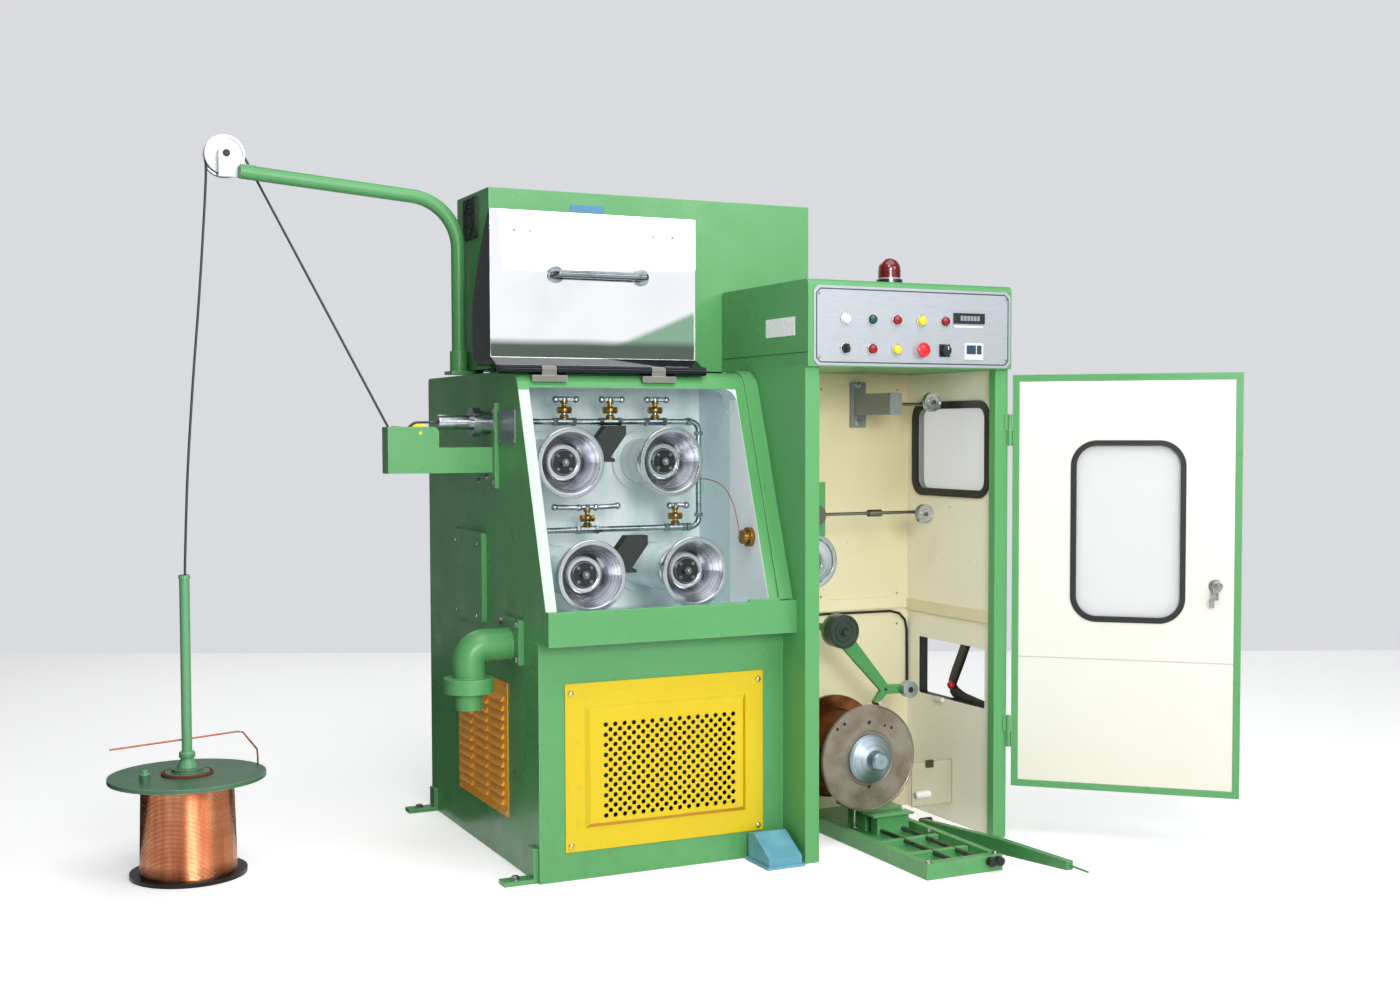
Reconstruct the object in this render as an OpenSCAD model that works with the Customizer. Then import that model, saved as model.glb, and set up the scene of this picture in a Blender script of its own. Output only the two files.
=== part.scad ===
// Fine wire drawing machine: a green sheet steel body with a sloped drawing chamber over a base
// cabinet, a take-up cabinet with a swinging door on its right, an electric cabinet on top and
// a standing supply spool on its left. Sizes are in millimetres.
// The machine is laid out from the front left foot of its body (X to the right, Y to the back),
// and from_foot() then moves that layout so that the origin is under the middle of the body.

/* [Body] */
// Width of the main body
body_w = 750; // [740:1:780]
// Depth of the main body
body_d = 1025; // [980:1:1100]
// Height of the main body
body_h = 1400; // [1390:1:1420]
// Height of the base cabinet under the coolant tray
base_h = 655; // [640:1:665]
// Depth from the body's front face to the bulkhead that carries the cones
bulkhead_y = 393; // [385:1:405]
// Thickness of the bulkhead
bulkhead_t = 15; // [10:1:20]
// Depth of the hollow behind each vent panel
vent_depth = 60; // [30:1:90]

/* [Drawing chamber] */
// Thickness of the left side wall
side_wall = 32; // [24:1:40]
// Width of the right side wall with its sealing rim
rim_wall = 78; // [60:1:90]
// How far the slope's foot stands in front of the body
slope_foot = 60; // [50:1:60]
// Depth at which the slope would meet the roof
brow_y = 167; // [160:1:175]
// Radius of the brow between the slope and the roof
brow_r = 65; // [50:1:70]
// Overhang of the coolant tray in front of the body
tray_over = 82; // [78:1:100]
// Thickness of the tray's floor
tray_floor = 45; // [35:1:50]
// Height of the tray's front lip
lip_h = 93; // [85:1:100]
// Thickness of the roof sheet
roof_t = 10; // [6:1:14]
// Height of the header bar under the roof's front edge
header_h = 48; // [46:1:60]

/* [Cones] */
// Diameter of a cone's rim
cone_d = 200; // [190:1:210]
// Length of a cone from its rim to its back
cone_len = 105; // [95:1:112]
// Number of drawing steps on a cone
cone_steps = 7; // [5:1:9]
// Diameter of the smallest step
cone_small = 128; // [120:1:140]
// Depth of the polished hollow in a cone's front
cone_hollow = 64; // [55:1:70]
// Distance of the left cones from the body's left side
cone_left = 157; // [155:1:165]
// Distance between the left and the right cones
cone_pitch = 311; // [300:1:320]
// Diameter of a cone's bearing housing
housing_d = 135; // [120:1:150]
// Diameter of a cone's shaft
shaft_d = 40; // [30:1:50]

/* [Spray pipes] */
// Diameter of the spray pipes
pipe_d = 17; // [12:1:20]
// Depth of the spray pipes
pipe_y = 250; // [245:1:262]
// Distance of the riser from the chamber's right wall
riser_in = 72; // [66:1:80]

/* [Lid] */
// Width of the polished lid
lid_w = 632; // [600:1:640]
// Distance that the lid reaches past the body's left side
lid_over = 54; // [40:1:60]
// Height of the lid's flat plate
lid_h = 411; // [400:1:420]
// Deepest part of the lid's bulge behind the plate
lid_depth = 164; // [140:1:164]
// Diameter of the rolled edge along the lid's foot
roll_d = 26; // [22:1:28]

/* [Electric cabinet] */
// How far the electric cabinet reaches past the body's right side
elec_over = 306; // [300:1:320]
// Depth of the electric cabinet
elec_d = 301; // [280:1:340]
// Height of the electric cabinet
elec_h = 522; // [500:1:560]
// Height of its feet
elec_foot = 12; // [12:1:20]
// Width of the fan's square frame
fan_w = 120; // [80:1:140]

/* [Take-up cabinet] */
// Width of the take-up cabinet
take_w = 692; // [690:1:720]
// How far it stands in front of the body
take_front = 133; // [125:1:140]
// Thickness of its right wall
right_t = 32; // [28:1:36]
// Thickness of its back wall
back_t = 30; // [25:1:35]
// Thickness of its left wall
left_t = 12; // [8:1:16]
// Width of its front posts
post_w = 45; // [40:1:55]
// Height of the control box on top
box_h = 245; // [235:1:260]
// Overhang of the control box in front
box_over = 17; // [12:1:25]
// Thickness of the control panel's plate
panel_t = 3; // [2:1:5]

/* [Door] */
// Width of the door
door_w = 654; // [650:1:656]
// Height of the door's lower edge above the floor
door_z = 160; // [150:1:165]
// Thickness of the door
door_t = 30; // [25:1:32]
// How far the door stands open at rest
door_open = 137; // [100:1:150]
// Gap between the door and the posts
door_gap = 5; // [5:1:6]
// Diameter of the door's hinges
door_hinge_d = 14; // [12:1:15]

/* [Take-up parts] */
// Diameter of the take-up spool's flanges
spool_d = 316; // [300:1:320]
// Length of the take-up spool
spool_len = 222; // [200:1:226]
// Thickness of a spool's flange
flange_t = 12; // [8:1:16]
// Diameter of the spool's winding
winding_d = 236; // [200:1:240]
// Distance of the spool from the body's right side
spool_in = 281; // [275:1:290]
// Height of the spool's axis
spool_z = 257; // [256:1:265]
// How far the spool's front face stands in front of the body
spool_front = 20; // [10:1:25]
// Diameter of the spool's spindle
spindle_d = 40; // [30:1:44]
// Diameter of the capstan wheel
wheel_d = 164; // [150:1:170]
// Depth of the plane in which the wheel, the pulleys and the dancer lie
wire_y = 120; // [110:1:125]
// Diameter of the guide pulleys
guide_d = 60; // [50:1:62]

/* [Supply] */
// Diameter of the supply arm's tube
arm_d = 42; // [38:1:44]
// Distance of the supply arm from the body's left side
arm_out = 28; // [27:1:34]
// Depth of the supply arm
arm_y = 600; // [590:1:602]
// Diameter of the supply pulley
pulley_d = 112; // [104:1:114]
// Width of the supply pulley
pulley_w = 36; // [30:1:38]
// Distance of the supply spool from the body's left side
supply_x = 840; // [820:1:900]
// Depth of the supply spool
supply_y = 540; // [500:1:560]
// Height of the supply spool
supply_h = 268; // [250:1:280]
// Diameter of the disc on the supply spool
cap_d = 425; // [400:1:440]
// Height of the rod's top above the disc
rod_h = 555; // [550:1:558]
// Diameter of the wire between the supply spool and the machine
wire_d = 7; // [5:1:8]

/* [Hidden] */
$fn = 64;
// Small overlap that lets a cut run clean through a face
cut = 1;
// Radial clearance of every shaft in its bore
fit = 0.06;
// Gap between a part that rests and its seat
seat = 0.3;

// Levels and walls that follow from the sizes above
tray_z = base_h + tray_floor;
lip_z = base_h + lip_h;
chamber_h = body_h - tray_z;
chamber_x1 = body_w - rim_wall;
riser_x = chamber_x1 - riser_in;
back_face = bulkhead_y + bulkhead_t;
elec_z = body_h + elec_foot;
elec_x1 = body_w + elec_over;
take_x1 = body_w + take_w;
take_h = body_h + 10;
box_top = take_h + box_h;
inner_x1 = take_x1 - right_t;
inner_back = bulkhead_y - back_t;

module from_foot() {
    translate([-body_w / 2, -body_d / 2, 0]) children();
}

module block(x0, x1, y0, y1, z0, z1) {
    translate([x0, y0, z0]) cube([x1 - x0, y1 - y0, z1 - z0]);
}

// An outline in (Y, Z) carried along X, and an outline in (X, Z) carried along Y
module along_x(x0, len) {
    translate([x0, 0, 0]) rotate([90, 0, 90]) linear_extrude(len) children();
}

module along_y(y0, len) {
    translate([0, y0 + len, 0]) rotate([90, 0, 0]) linear_extrude(len) children();
}

module rod_x(x0, y, z, len, r) {
    translate([x0, y, z]) rotate([0, 90, 0]) cylinder(h = len, r = r);
}

module rod_y(x, y0, z, len, r) {
    translate([x, y0, z]) rotate([-90, 0, 0]) cylinder(h = len, r = r);
}

module rod_z(x, y, z0, len, r) {
    translate([x, y, z0]) cylinder(h = len, r = r);
}

// A quarter bend in the XZ plane about (x, z): the pipe runs from angle a to angle a + 90
module quarter_bend(x, y, z, bend_r, r, a) {
    translate([x, y, z]) rotate([90, 0, 0]) rotate([0, 0, a]) rotate_extrude(angle = 90)
        translate([bend_r, 0]) circle(r);
}

module round_rect(x0, z0, w, h, r) {
    translate([x0 + r, z0]) square([w - 2 * r, h]);
    translate([x0, z0 + r]) square([w, h - 2 * r]);
    for (x = [x0 + r, x0 + w - r], z = [z0 + r, z0 + h - r]) translate([x, z]) circle(r);
}

// The slope: its lean from the vertical, and the arc of the brow that joins it to the roof
slope_lean = atan((brow_y + slope_foot) / (body_h - lip_z));
brow_t = brow_r * tan((90 - slope_lean) / 2);
brow_mid = [brow_y + brow_t, body_h - brow_r];

function slope_y(z) = -slope_foot + (z - lip_z) * tan(slope_lean);

// Points of the front outline from the slope's foot over the brow, moved out by d
function front_line(d) = concat(
    [[-slope_foot - d * cos(slope_lean), lip_z + d * sin(slope_lean)]],
    [for (k = [0:6]) let (a = 180 - slope_lean - k * (90 - slope_lean) / 6)
        brow_mid + (brow_r + d) * [cos(a), sin(a)]]);

module hood_outline() {
    polygon(concat([[-slope_foot, tray_z]], front_line(0),
        [[back_face, body_h], [back_face, tray_z]]));
}

// Base cabinet: closed housing with a hollow behind each vent, and its floor brackets
vent_x0 = 75;
vent_x1 = body_w - 67;
vent_z0 = 78;
vent_z1 = base_h - 113;
louvre_y0 = 253;
louvre_y1 = 715;
louvre_z0 = 130;
louvre_z1 = 515;
vent_frame = 30;
foot_l = 95;
foot_w = 50;
foot_t = 12;
foot_rise = [95, 72];

module foot_bracket(y, side, rise) {
    x0 = side < 0 ? -foot_t : elec_x1;
    block(x0, x0 + foot_t, y, y + foot_w, 0, rise);
    block(side < 0 ? -foot_l : elec_x1, side < 0 ? 0 : elec_x1 + foot_l, y, y + foot_w, 0, foot_t);
}

module lower_cabinet() {
    color("seagreen") from_foot() {
        difference() {
            block(0, body_w, 0, body_d, 0, base_h);
            block(vent_x0 + vent_frame, vent_x1 - vent_frame, -cut, vent_depth,
                vent_z0 + vent_frame, vent_z1 - vent_frame);
            block(-cut, vent_depth, louvre_y0 + vent_frame, louvre_y1 - vent_frame,
                louvre_z0 + vent_frame, louvre_z1 - vent_frame);
        }
        foot_bracket(14, -1, foot_rise[0]);
        foot_bracket(body_d - foot_w - 15, -1, foot_rise[1]);
    }
}

tab_w = 95;
tab_h = 8;

module coolant_tray() {
    color("seagreen") from_foot() {
        block(0, body_w, -tray_over, back_face, base_h, tray_z);
        block(0, body_w, -tray_over, -slope_foot, base_h, lip_z);
        block(chamber_x1 - tab_w + 23, chamber_x1 + 23, -tray_over, -slope_foot - 12, base_h,
            lip_z + tab_h);
    }
}

// Hood: both side walls, the sealing bead on the right one, the roof and its front header
bead_x0 = chamber_x1 + 31;
bead_w = 38;
bead_h = 8;
corner_r = 40;

module hood_shell() {
    color("seagreen") from_foot() {
        along_x(0, side_wall) hood_outline();
        along_x(chamber_x1, rim_wall) hood_outline();
        along_x(bead_x0, bead_w) polygon(concat(front_line(bead_h),
            [brow_mid, [slope_y(lip_z) + 30, lip_z]]));
        intersection() {
            along_x(side_wall - cut, chamber_x1 - side_wall + 2 * cut) hood_outline();
            union() {
                block(side_wall - cut, chamber_x1 + cut, 0, brow_mid[0] + 12,
                    body_h - header_h, body_h);
                block(side_wall - cut, chamber_x1 + cut, 0, back_face,
                    body_h - roof_t, body_h);
                along_y(0, brow_mid[0] + 12) difference() {
                    translate([chamber_x1 - corner_r, body_h - header_h - corner_r])
                        square([corner_r + cut, corner_r + cut]);
                    translate([chamber_x1 - corner_r, body_h - header_h - corner_r])
                        circle(corner_r);
                }
            }
        }
    }
}

// Cones: four stepped capstans on shafts that run through the bulkhead into the rear housing
function cone_x(i) = cone_left + (i % 2) * cone_pitch;
function cone_z(i) = tray_z + chamber_h * (i < 2 ? 0.63 : 0.19);
function cone_y(i) = slope_y(cone_z(i)) + (i < 2 ? 72 : 26);
shaft_in = 40;

module shaft_bores(y0, len) {
    for (i = [0:3]) rod_y(cone_x(i), y0, cone_z(i), len, shaft_d / 2 + fit);
}

module bulkhead() {
    color("lightcyan") from_foot() difference() {
        block(side_wall, chamber_x1, bulkhead_y, back_face, tray_z, body_h - roof_t);
        shaft_bores(bulkhead_y - cut, bulkhead_t + 2 * cut);
    }
}

corner_t = 14;

// Rear housing: the gear case behind the chamber and the motor case behind the take-up cabinet
module rear_housing() {
    color("seagreen") from_foot() difference() {
        union() {
            along_x(0, body_w) polygon(concat([[back_face, base_h], [body_d, base_h]],
                [for (k = [0:3]) [body_d - corner_t + corner_t * cos(30 * k),
                    body_h - corner_t + corner_t * sin(30 * k)]],
                [[back_face, body_h]]));
            block(body_w, elec_x1, bulkhead_y, body_d, 0, body_h);
            foot_bracket(body_d - foot_w - 15, 1, foot_rise[1]);
        }
        shaft_bores(back_face - cut, shaft_in + cut);
        rod_y(spool_x, bulkhead_y - cut, spool_z, shaft_in + cut, spindle_d / 2 + fit);
        rod_y(wheel_x, bulkhead_y - cut, wheel_z, shaft_in + cut, wheel_shaft_d / 2 + fit);
    }
}

fan_y = bulkhead_y + 161;
fan_z = elec_z + elec_h - 74;
fan_rings = [18, 34, 50];

module electric_cabinet() {
    color("seagreen") from_foot() {
        difference() {
            block(0, elec_x1, bulkhead_y, bulkhead_y + elec_d, elec_z, elec_z + elec_h);
            rod_x(-cut, fan_y, fan_z, vent_depth / 2 + cut, fan_w / 2 - 6);
        }
        for (x = [20, elec_x1 - 60], y = [bulkhead_y + 20, bulkhead_y + elec_d - 60])
            block(x, x + 40, y, y + 40, body_h, elec_z);
    }
}

module fan_grille() {
    color("dimgray") from_foot() {
        difference() {
            along_x(-8, 8) round_rect(fan_y - fan_w / 2, fan_z - fan_w / 2, fan_w, fan_w, 8);
            rod_x(-8 - cut, fan_y, fan_z, 8 + 2 * cut, fan_w / 2 - 5);
        }
        for (r = fan_rings) difference() {
            rod_x(-8, fan_y, fan_z, 3, r + 1.6);
            rod_x(-8 - cut, fan_y, fan_z, 3 + 2 * cut, r - 1.6);
        }
        rod_x(-8, fan_y, fan_z, 3, 9);
        for (a = [45, 135]) translate([-8, fan_y, fan_z]) rotate([a, 0, 0])
            translate([0, -fan_w / 2 + 4, -2]) cube([3, fan_w - 8, 4]);
    }
}

housing_gap = 5;
flange_ring = 22;
flange_ring_t = 12;

module cone_housings() {
    color("lightcyan") from_foot() for (i = [0:3]) {
        y0 = cone_y(i) + cone_len + housing_gap;
        difference() {
            union() {
                rod_y(cone_x(i), y0, cone_z(i), bulkhead_y - y0, housing_d / 2);
                rod_y(cone_x(i), bulkhead_y - flange_ring_t, cone_z(i), flange_ring_t,
                    housing_d / 2 + flange_ring);
            }
            rod_y(cone_x(i), y0 - cut, cone_z(i), bulkhead_y - y0 + 2 * cut,
                shaft_d / 2 + fit);
        }
    }
}

// Half profile of a cone, as (radius, depth): the polished hollow in front, then the rim, then
// one cylindrical land for each drawing step, and the collar that runs against the housing
rim_band = 14;
rim_h = 12;
first_drop = 12;
land_start = 14;
collar_len = 9;
step_len = (cone_len - land_start - collar_len - 2) / cone_steps;
step_drop = (cone_d / 2 - first_drop - cone_small / 2) / (cone_steps - 1);
hub_d = 98;
disc_d = 76;
cone_profile = concat(
    [[0, cone_hollow], [hub_d / 2 - 6, cone_hollow], [hub_d / 2 - 6, cone_hollow - 4],
    [hub_d / 2, cone_hollow - 4], [hub_d / 2 + 3, cone_hollow - 8],
    [cone_d / 2 - rim_band, 2], [cone_d / 2 - rim_band + 2, 0], [cone_d / 2 - 2, 0],
    [cone_d / 2, 2], [cone_d / 2, rim_h]],
    [for (k = [0:cone_steps - 1], e = [0, 1])
        [cone_d / 2 - first_drop - k * step_drop, land_start + (k + e) * step_len]],
    [[cone_small / 2 + 4, cone_len - collar_len], [cone_small / 2 + 4, cone_len],
    [0, cone_len]]);

module cone(i) {
    color("silver") from_foot() {
        translate([cone_x(i), cone_y(i), cone_z(i)]) {
            rotate([-90, 0, 0]) rotate_extrude($fn = 96) polygon(cone_profile);
            rod_y(0, cone_hollow - 6, 0, 6, disc_d / 2);
            rod_y(0, cone_hollow - 16, 0, 10, 10);
            for (a = [45:90:315])
                rod_y(27 * cos(a), cone_hollow - 9, 27 * sin(a), 3, 4);
        }
        rod_y(cone_x(i), cone_y(i) + cone_len - 2, cone_z(i),
            back_face + shaft_in - 8 - cone_y(i) - cone_len, shaft_d / 2);
    }
}

module cone_upper_left() {
    cone(0);
}

module cone_upper_right() {
    cone(1);
}

module cone_lower_left() {
    cone(2);
}

module cone_lower_right() {
    cone(3);
}

// Die holders: slanted black plates on posts between the cones of a row
die_in = 60;
die_t = 40;
die_x = 92;
post_r = 12;
die_outline = [[13, 0], [65, 0], [65, 9], [52, 14], [100, 78], [100, 104], [39, 104], [0, 55],
    [11, 35]];

module die_holders() {
    color("darkslategray") from_foot() for (i = [0, 2]) {
        y0 = cone_y(i) + die_in;
        translate([cone_x(i) + die_x, 0, cone_z(i)]) {
            along_y(y0, die_t) polygon(die_outline);
            rod_y(50, y0 + die_t, 52, bulkhead_y - y0 - die_t, post_r);
        }
    }
}

// Spray pipework: two level pipes joined by a riser, with tees under the taps
pipe_r = pipe_d / 2;
pipe_up_z = cone_z(0) + cone_d / 2 + 16;
pipe_low_z = cone_z(2) + cone_d / 2 + 12;
pipe_bend = 26;
tap_up = [174, 316, 459];
tap_low = [243, 523];
tee_r = 11;
tee_l = 44;

module tee(x, z) {
    rod_x(x - tee_l / 2, pipe_y, z, tee_l, tee_r);
    rod_z(x, pipe_y, z, 26, 9);
}

module spray_pipes() {
    color("gainsboro") from_foot() {
        for (z = [pipe_low_z, pipe_up_z]) {
            rod_x(side_wall, pipe_y, z, riser_x - pipe_bend - side_wall, pipe_r);
            rod_x(side_wall, pipe_y, z, 14, tee_r);
            rod_x(riser_x - pipe_bend - 12, pipe_y, z, 12, tee_r);
        }
        quarter_bend(riser_x - pipe_bend, pipe_y, pipe_up_z - pipe_bend, pipe_bend, pipe_r, 0);
        quarter_bend(riser_x - pipe_bend, pipe_y, pipe_low_z + pipe_bend, pipe_bend, pipe_r,
            270);
        rod_z(riser_x, pipe_y, pipe_low_z + pipe_bend,
            pipe_up_z - pipe_low_z - 2 * pipe_bend, pipe_r);
        for (x = tap_up) tee(x, pipe_up_z);
        for (x = tap_low) tee(x, pipe_low_z);
    }
}

// Taps: a brass body with a levelled handle on each tee; the lower left one has two handles
module tap(x, z) {
    rod_z(x, pipe_y, z + 26, 12, 11);
    rod_z(x, pipe_y, z + 38, 16, 7);
    rod_z(x, pipe_y, z + 54, 8, 10);
}

module tap_handle(x0, x1, z) {
    block(x0, x1, pipe_y - 7, pipe_y + 7, z, z + 7);
    for (x = [x0, x1]) rod_z(x, pipe_y, z - 2, 11, 9);
}

module pipe_taps() {
    color("darkgoldenrod") from_foot() {
        for (x = tap_up) {
            tap(x, pipe_up_z);
            tap_handle(x - 24, x + 34, pipe_up_z + 60);
        }
        tap(tap_low[1], pipe_low_z);
        tap_handle(tap_low[1] - 16, tap_low[1] + 34, pipe_low_z + 60);
        tap(tap_low[0], pipe_low_z);
        rod_z(tap_low[0], pipe_y, pipe_low_z + 62, 18, 9);
        rod_x(tap_low[0] - 24, pipe_y, pipe_low_z + 68, 48, 5);
        block(tap_low[0] - 100, tap_low[0] - 22, pipe_y - 7, pipe_y + 7, pipe_low_z + 62,
            pipe_low_z + 74);
        block(tap_low[0] + 22, tap_low[0] + 94, pipe_y - 7, pipe_y + 7, pipe_low_z + 62,
            pipe_low_z + 74);
    }
}

die_y = 50;
die_z = cone_z(2) + 90;

module exit_die() {
    color("darkgoldenrod") from_foot() difference() {
        union() {
            rod_x(chamber_x1 - 14, die_y, die_z, 14, 28);
            rod_x(chamber_x1 - 30, die_y, die_z, 16, 20);
        }
        rod_x(chamber_x1 - 30 - cut, die_y, die_z, 24 + cut, drawn_r + seat);
    }
}

// Vent panel: pressed frame round a perforated field of staggered holes
hole_pitch = 28;
hole_d = 13;
hole_cols = 15;
hole_rows = 10;
panel_sheet = 3;
press_out = 12;
press_in = [55, 62];
bevel = 14;
field_x0 = (vent_x0 + vent_x1 - (hole_cols - 1) * hole_pitch) / 2 + 8;
field_z0 = (vent_z0 + vent_z1 - (hole_rows - 1) * hole_pitch) / 2 - 12;

// The pressed field: a pyramid cut off at its front, as two crossed outlines
module vent_hump(inset, y0, y1) {
    x0 = vent_x0 + press_in[0] + inset;
    x1 = vent_x1 - press_in[0] - inset;
    z0 = vent_z0 + press_in[1] + inset;
    z1 = vent_z1 - press_in[1] - inset;
    intersection() {
        translate([0, 0, z0]) linear_extrude(z1 - z0) polygon([[x0, y1], [x1, y1],
            [x1 - bevel, y0], [x0 + bevel, y0]]);
        along_x(x0, x1 - x0) polygon([[y1, z0], [y1, z1], [y0, z1 - bevel], [y0, z0 + bevel]]);
    }
}

module hole_field() {
    m = 0.7 * hole_pitch;
    difference() {
        translate([field_x0 - m, field_z0 - m]) square([(hole_cols - 1) * hole_pitch + 2 * m,
            (hole_rows - 1) * hole_pitch + 2 * m]);
        for (i = [0:hole_cols - 1], k = [0:hole_rows - 1])
            translate([field_x0 + i * hole_pitch, field_z0 + k * hole_pitch])
                circle(hole_d / 2, $fn = 16);
        for (i = [0:hole_cols - 2], k = [0:hole_rows - 2])
            translate([field_x0 + (i + 0.5) * hole_pitch, field_z0 + (k + 0.5) * hole_pitch])
                circle(hole_d / 2, $fn = 16);
    }
}

module vent_panel() {
    m = 0.7 * hole_pitch;
    color("gold") from_foot() {
        difference() {
            union() {
                block(vent_x0, vent_x1, -panel_sheet, 0, vent_z0, vent_z1);
                vent_hump(0, -press_out, -panel_sheet / 2);
            }
            vent_hump(panel_sheet, -press_out + panel_sheet, cut);
            block(field_x0 - m, field_x0 + m + (hole_cols - 1) * hole_pitch, -press_out - cut,
                -press_out + panel_sheet + cut, field_z0 - m,
                field_z0 + m + (hole_rows - 1) * hole_pitch);
        }
        along_y(-press_out, panel_sheet) hole_field();
    }
}

// Louvre panel on the left side: rows of pressed vents, open on their lower side
louvre_cols = 3;
louvre_rows = 12;
louvre_gap = 30;
louvre_len = (louvre_y1 - louvre_y0 - (louvre_cols + 1) * louvre_gap) / louvre_cols;
louvre_pitch = (louvre_z1 - louvre_z0 - 2 * louvre_gap) / louvre_rows;

module louvre_panel() {
    color("darkorange") from_foot() difference() {
        union() {
            block(-panel_sheet, 0, louvre_y0, louvre_y1, louvre_z0, louvre_z1);
            for (c = [0:louvre_cols - 1], k = [0:louvre_rows - 1])
                translate([-panel_sheet, 0, louvre_z0 + louvre_gap + k * louvre_pitch])
                along_y(louvre_y0 + louvre_gap + c * (louvre_len + louvre_gap), louvre_len)
                    polygon([[0, 0], [-9, 0], [-9, 3], [0, 18]]);
        }
        for (c = [0:louvre_cols - 1], k = [0:louvre_rows - 1])
            translate([-panel_sheet, 0, louvre_z0 + louvre_gap + k * louvre_pitch])
            along_y(louvre_y0 + louvre_gap + 3 + c * (louvre_len + louvre_gap), louvre_len - 6)
                polygon([[panel_sheet + cut, -cut], [-7, -cut], [-7, 2],
                [panel_sheet + cut, 14]]);
    }
}

cover_t = 15;
blank_t = 4;

module side_cover_plates() {
    color("seagreen") from_foot() {
        along_x(-cover_t, cover_t)
            round_rect(bulkhead_y + 44, base_h + 13, 315, 264, 8);
        block(-blank_t, 0, 169, 304, body_h - 203, body_h - 109);
    }
}

// Coolant return: square flange, level pipe, elbow, collar and hose spigot
elbow_y = 200;
elbow_z = base_h - 19;
elbow_r = 45;
elbow_out = 132;
elbow_bend = 46;
elbow_flange_t = 15;
collar_z = elbow_z - 129;

module coolant_elbow() {
    color("seagreen") from_foot() {
        block(-elbow_flange_t, 0, elbow_y - 84, elbow_y + 84, elbow_z - 52, elbow_z + 72);
        rod_x(-elbow_out + elbow_bend, elbow_y, elbow_z,
            elbow_out - elbow_bend - elbow_flange_t, elbow_r);
        quarter_bend(-elbow_out + elbow_bend, elbow_y, elbow_z - elbow_bend, elbow_bend,
            elbow_r, 90);
        rod_z(-elbow_out, elbow_y, collar_z, elbow_z - elbow_bend - collar_z, elbow_r);
        rod_z(-elbow_out, elbow_y, collar_z, 41, elbow_r + 24);
        rod_z(-elbow_out, elbow_y, collar_z - 48, 48, 37.5);
    }
}

// Wire entry: wall plate, beam, roller housing with its pocket, and the guide tube
wire_r = wire_d / 2;
entry_y = bulkhead_y - 25;
entry_z = body_h - 144;
roller_r = 26;
roller_x = -222;
roller_z = entry_z - roller_r - wire_r - seat;
pin_r = 5;
small_r = 14;
small_x = -282;
small_z = entry_z - 24;
beam_x0 = -316;
beam_top = entry_z - 72;
housing_x1 = -169;
plate_t = 12;

module beam_plan(x0, x1) {
    r = 25;
    translate([x0 + r, entry_y - 28]) square([x1 - x0 - r, 84]);
    translate([x0, entry_y - 28]) square([x1 - x0, 84 - r]);
    translate([x0 + r, entry_y + 56 - r]) circle(r);
}

module entry_bracket() {
    color("seagreen") from_foot() {
        block(-plate_t, 0, entry_y - 50, entry_y + 110, entry_z - 189, entry_z + 55);
        translate([0, 0, beam_top - 72]) linear_extrude(72) beam_plan(beam_x0, -plate_t);
        difference() {
            translate([0, 0, beam_top]) linear_extrude(59) beam_plan(beam_x0, housing_x1);
            along_y(entry_y - 40, 120) polygon([[housing_x1 - 12, beam_top + 59 + cut],
                [housing_x1 + cut, beam_top + 59 + cut], [housing_x1 + cut, beam_top + 46]]);
            block(beam_x0 + 4, housing_x1 - 13, entry_y - 12, entry_y + 40, beam_top + 6,
                beam_top + 59 + cut);
            block(housing_x1 - 14, housing_x1 + cut, entry_y - 8, entry_y + 8,
                entry_z - 14, beam_top + 59 + cut);
            rod_y(roller_x, entry_y - 28 - cut, roller_z, 84 + 2 * cut, pin_r + fit);
        }
        rod_y(small_x, entry_y - 13, small_z, 54, small_r);
    }
}

module inlet_guide() {
    color("silver") from_foot() difference() {
        union() {
            rod_x(-45, entry_y, entry_z, 45 - plate_t, 34);
            rod_x(-68, entry_y, entry_z, 23, 42);
            rod_x(-165, entry_y, entry_z, 97, 21);
        }
        rod_x(-165 - cut, entry_y, entry_z, 153 + 2 * cut, 6);
    }
}

module entry_roller() {
    color("gold") from_foot() {
        rod_y(roller_x, entry_y - 11.5, roller_z, 50, roller_r);
        rod_y(roller_x, entry_y - 27, roller_z, 82, pin_r);
    }
}

// Supply arm: a bent tube beside the electric cabinet, with a lug for the pulley at its end
arm_bend = 150;
arm_level = body_h + 525;
arm_rise = 4.6;
arm_reach = 499;
arm_base_t = 10;
tube_lap = 3;
tube_step = 0.3;
arm_foot = [-arm_out, arm_y, body_h];
bend_end = [-arm_bend + arm_bend * sin(arm_rise),
    arm_level - body_h - arm_bend + arm_bend * cos(arm_rise)];
arm_end = [-arm_out + bend_end[0] - arm_reach * cos(arm_rise),
    body_h + bend_end[1] + arm_reach * sin(arm_rise)];
pulley_x = arm_end[0] - 32;
pulley_y = arm_y + arm_d / 2 + 44;
pulley_z = arm_end[1] + 52.5;
lug_gap = 1.5;
lug_y = arm_y + arm_d / 2 + lug_gap;
lug_t = 8;
pulley_pin_r = 6;

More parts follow.
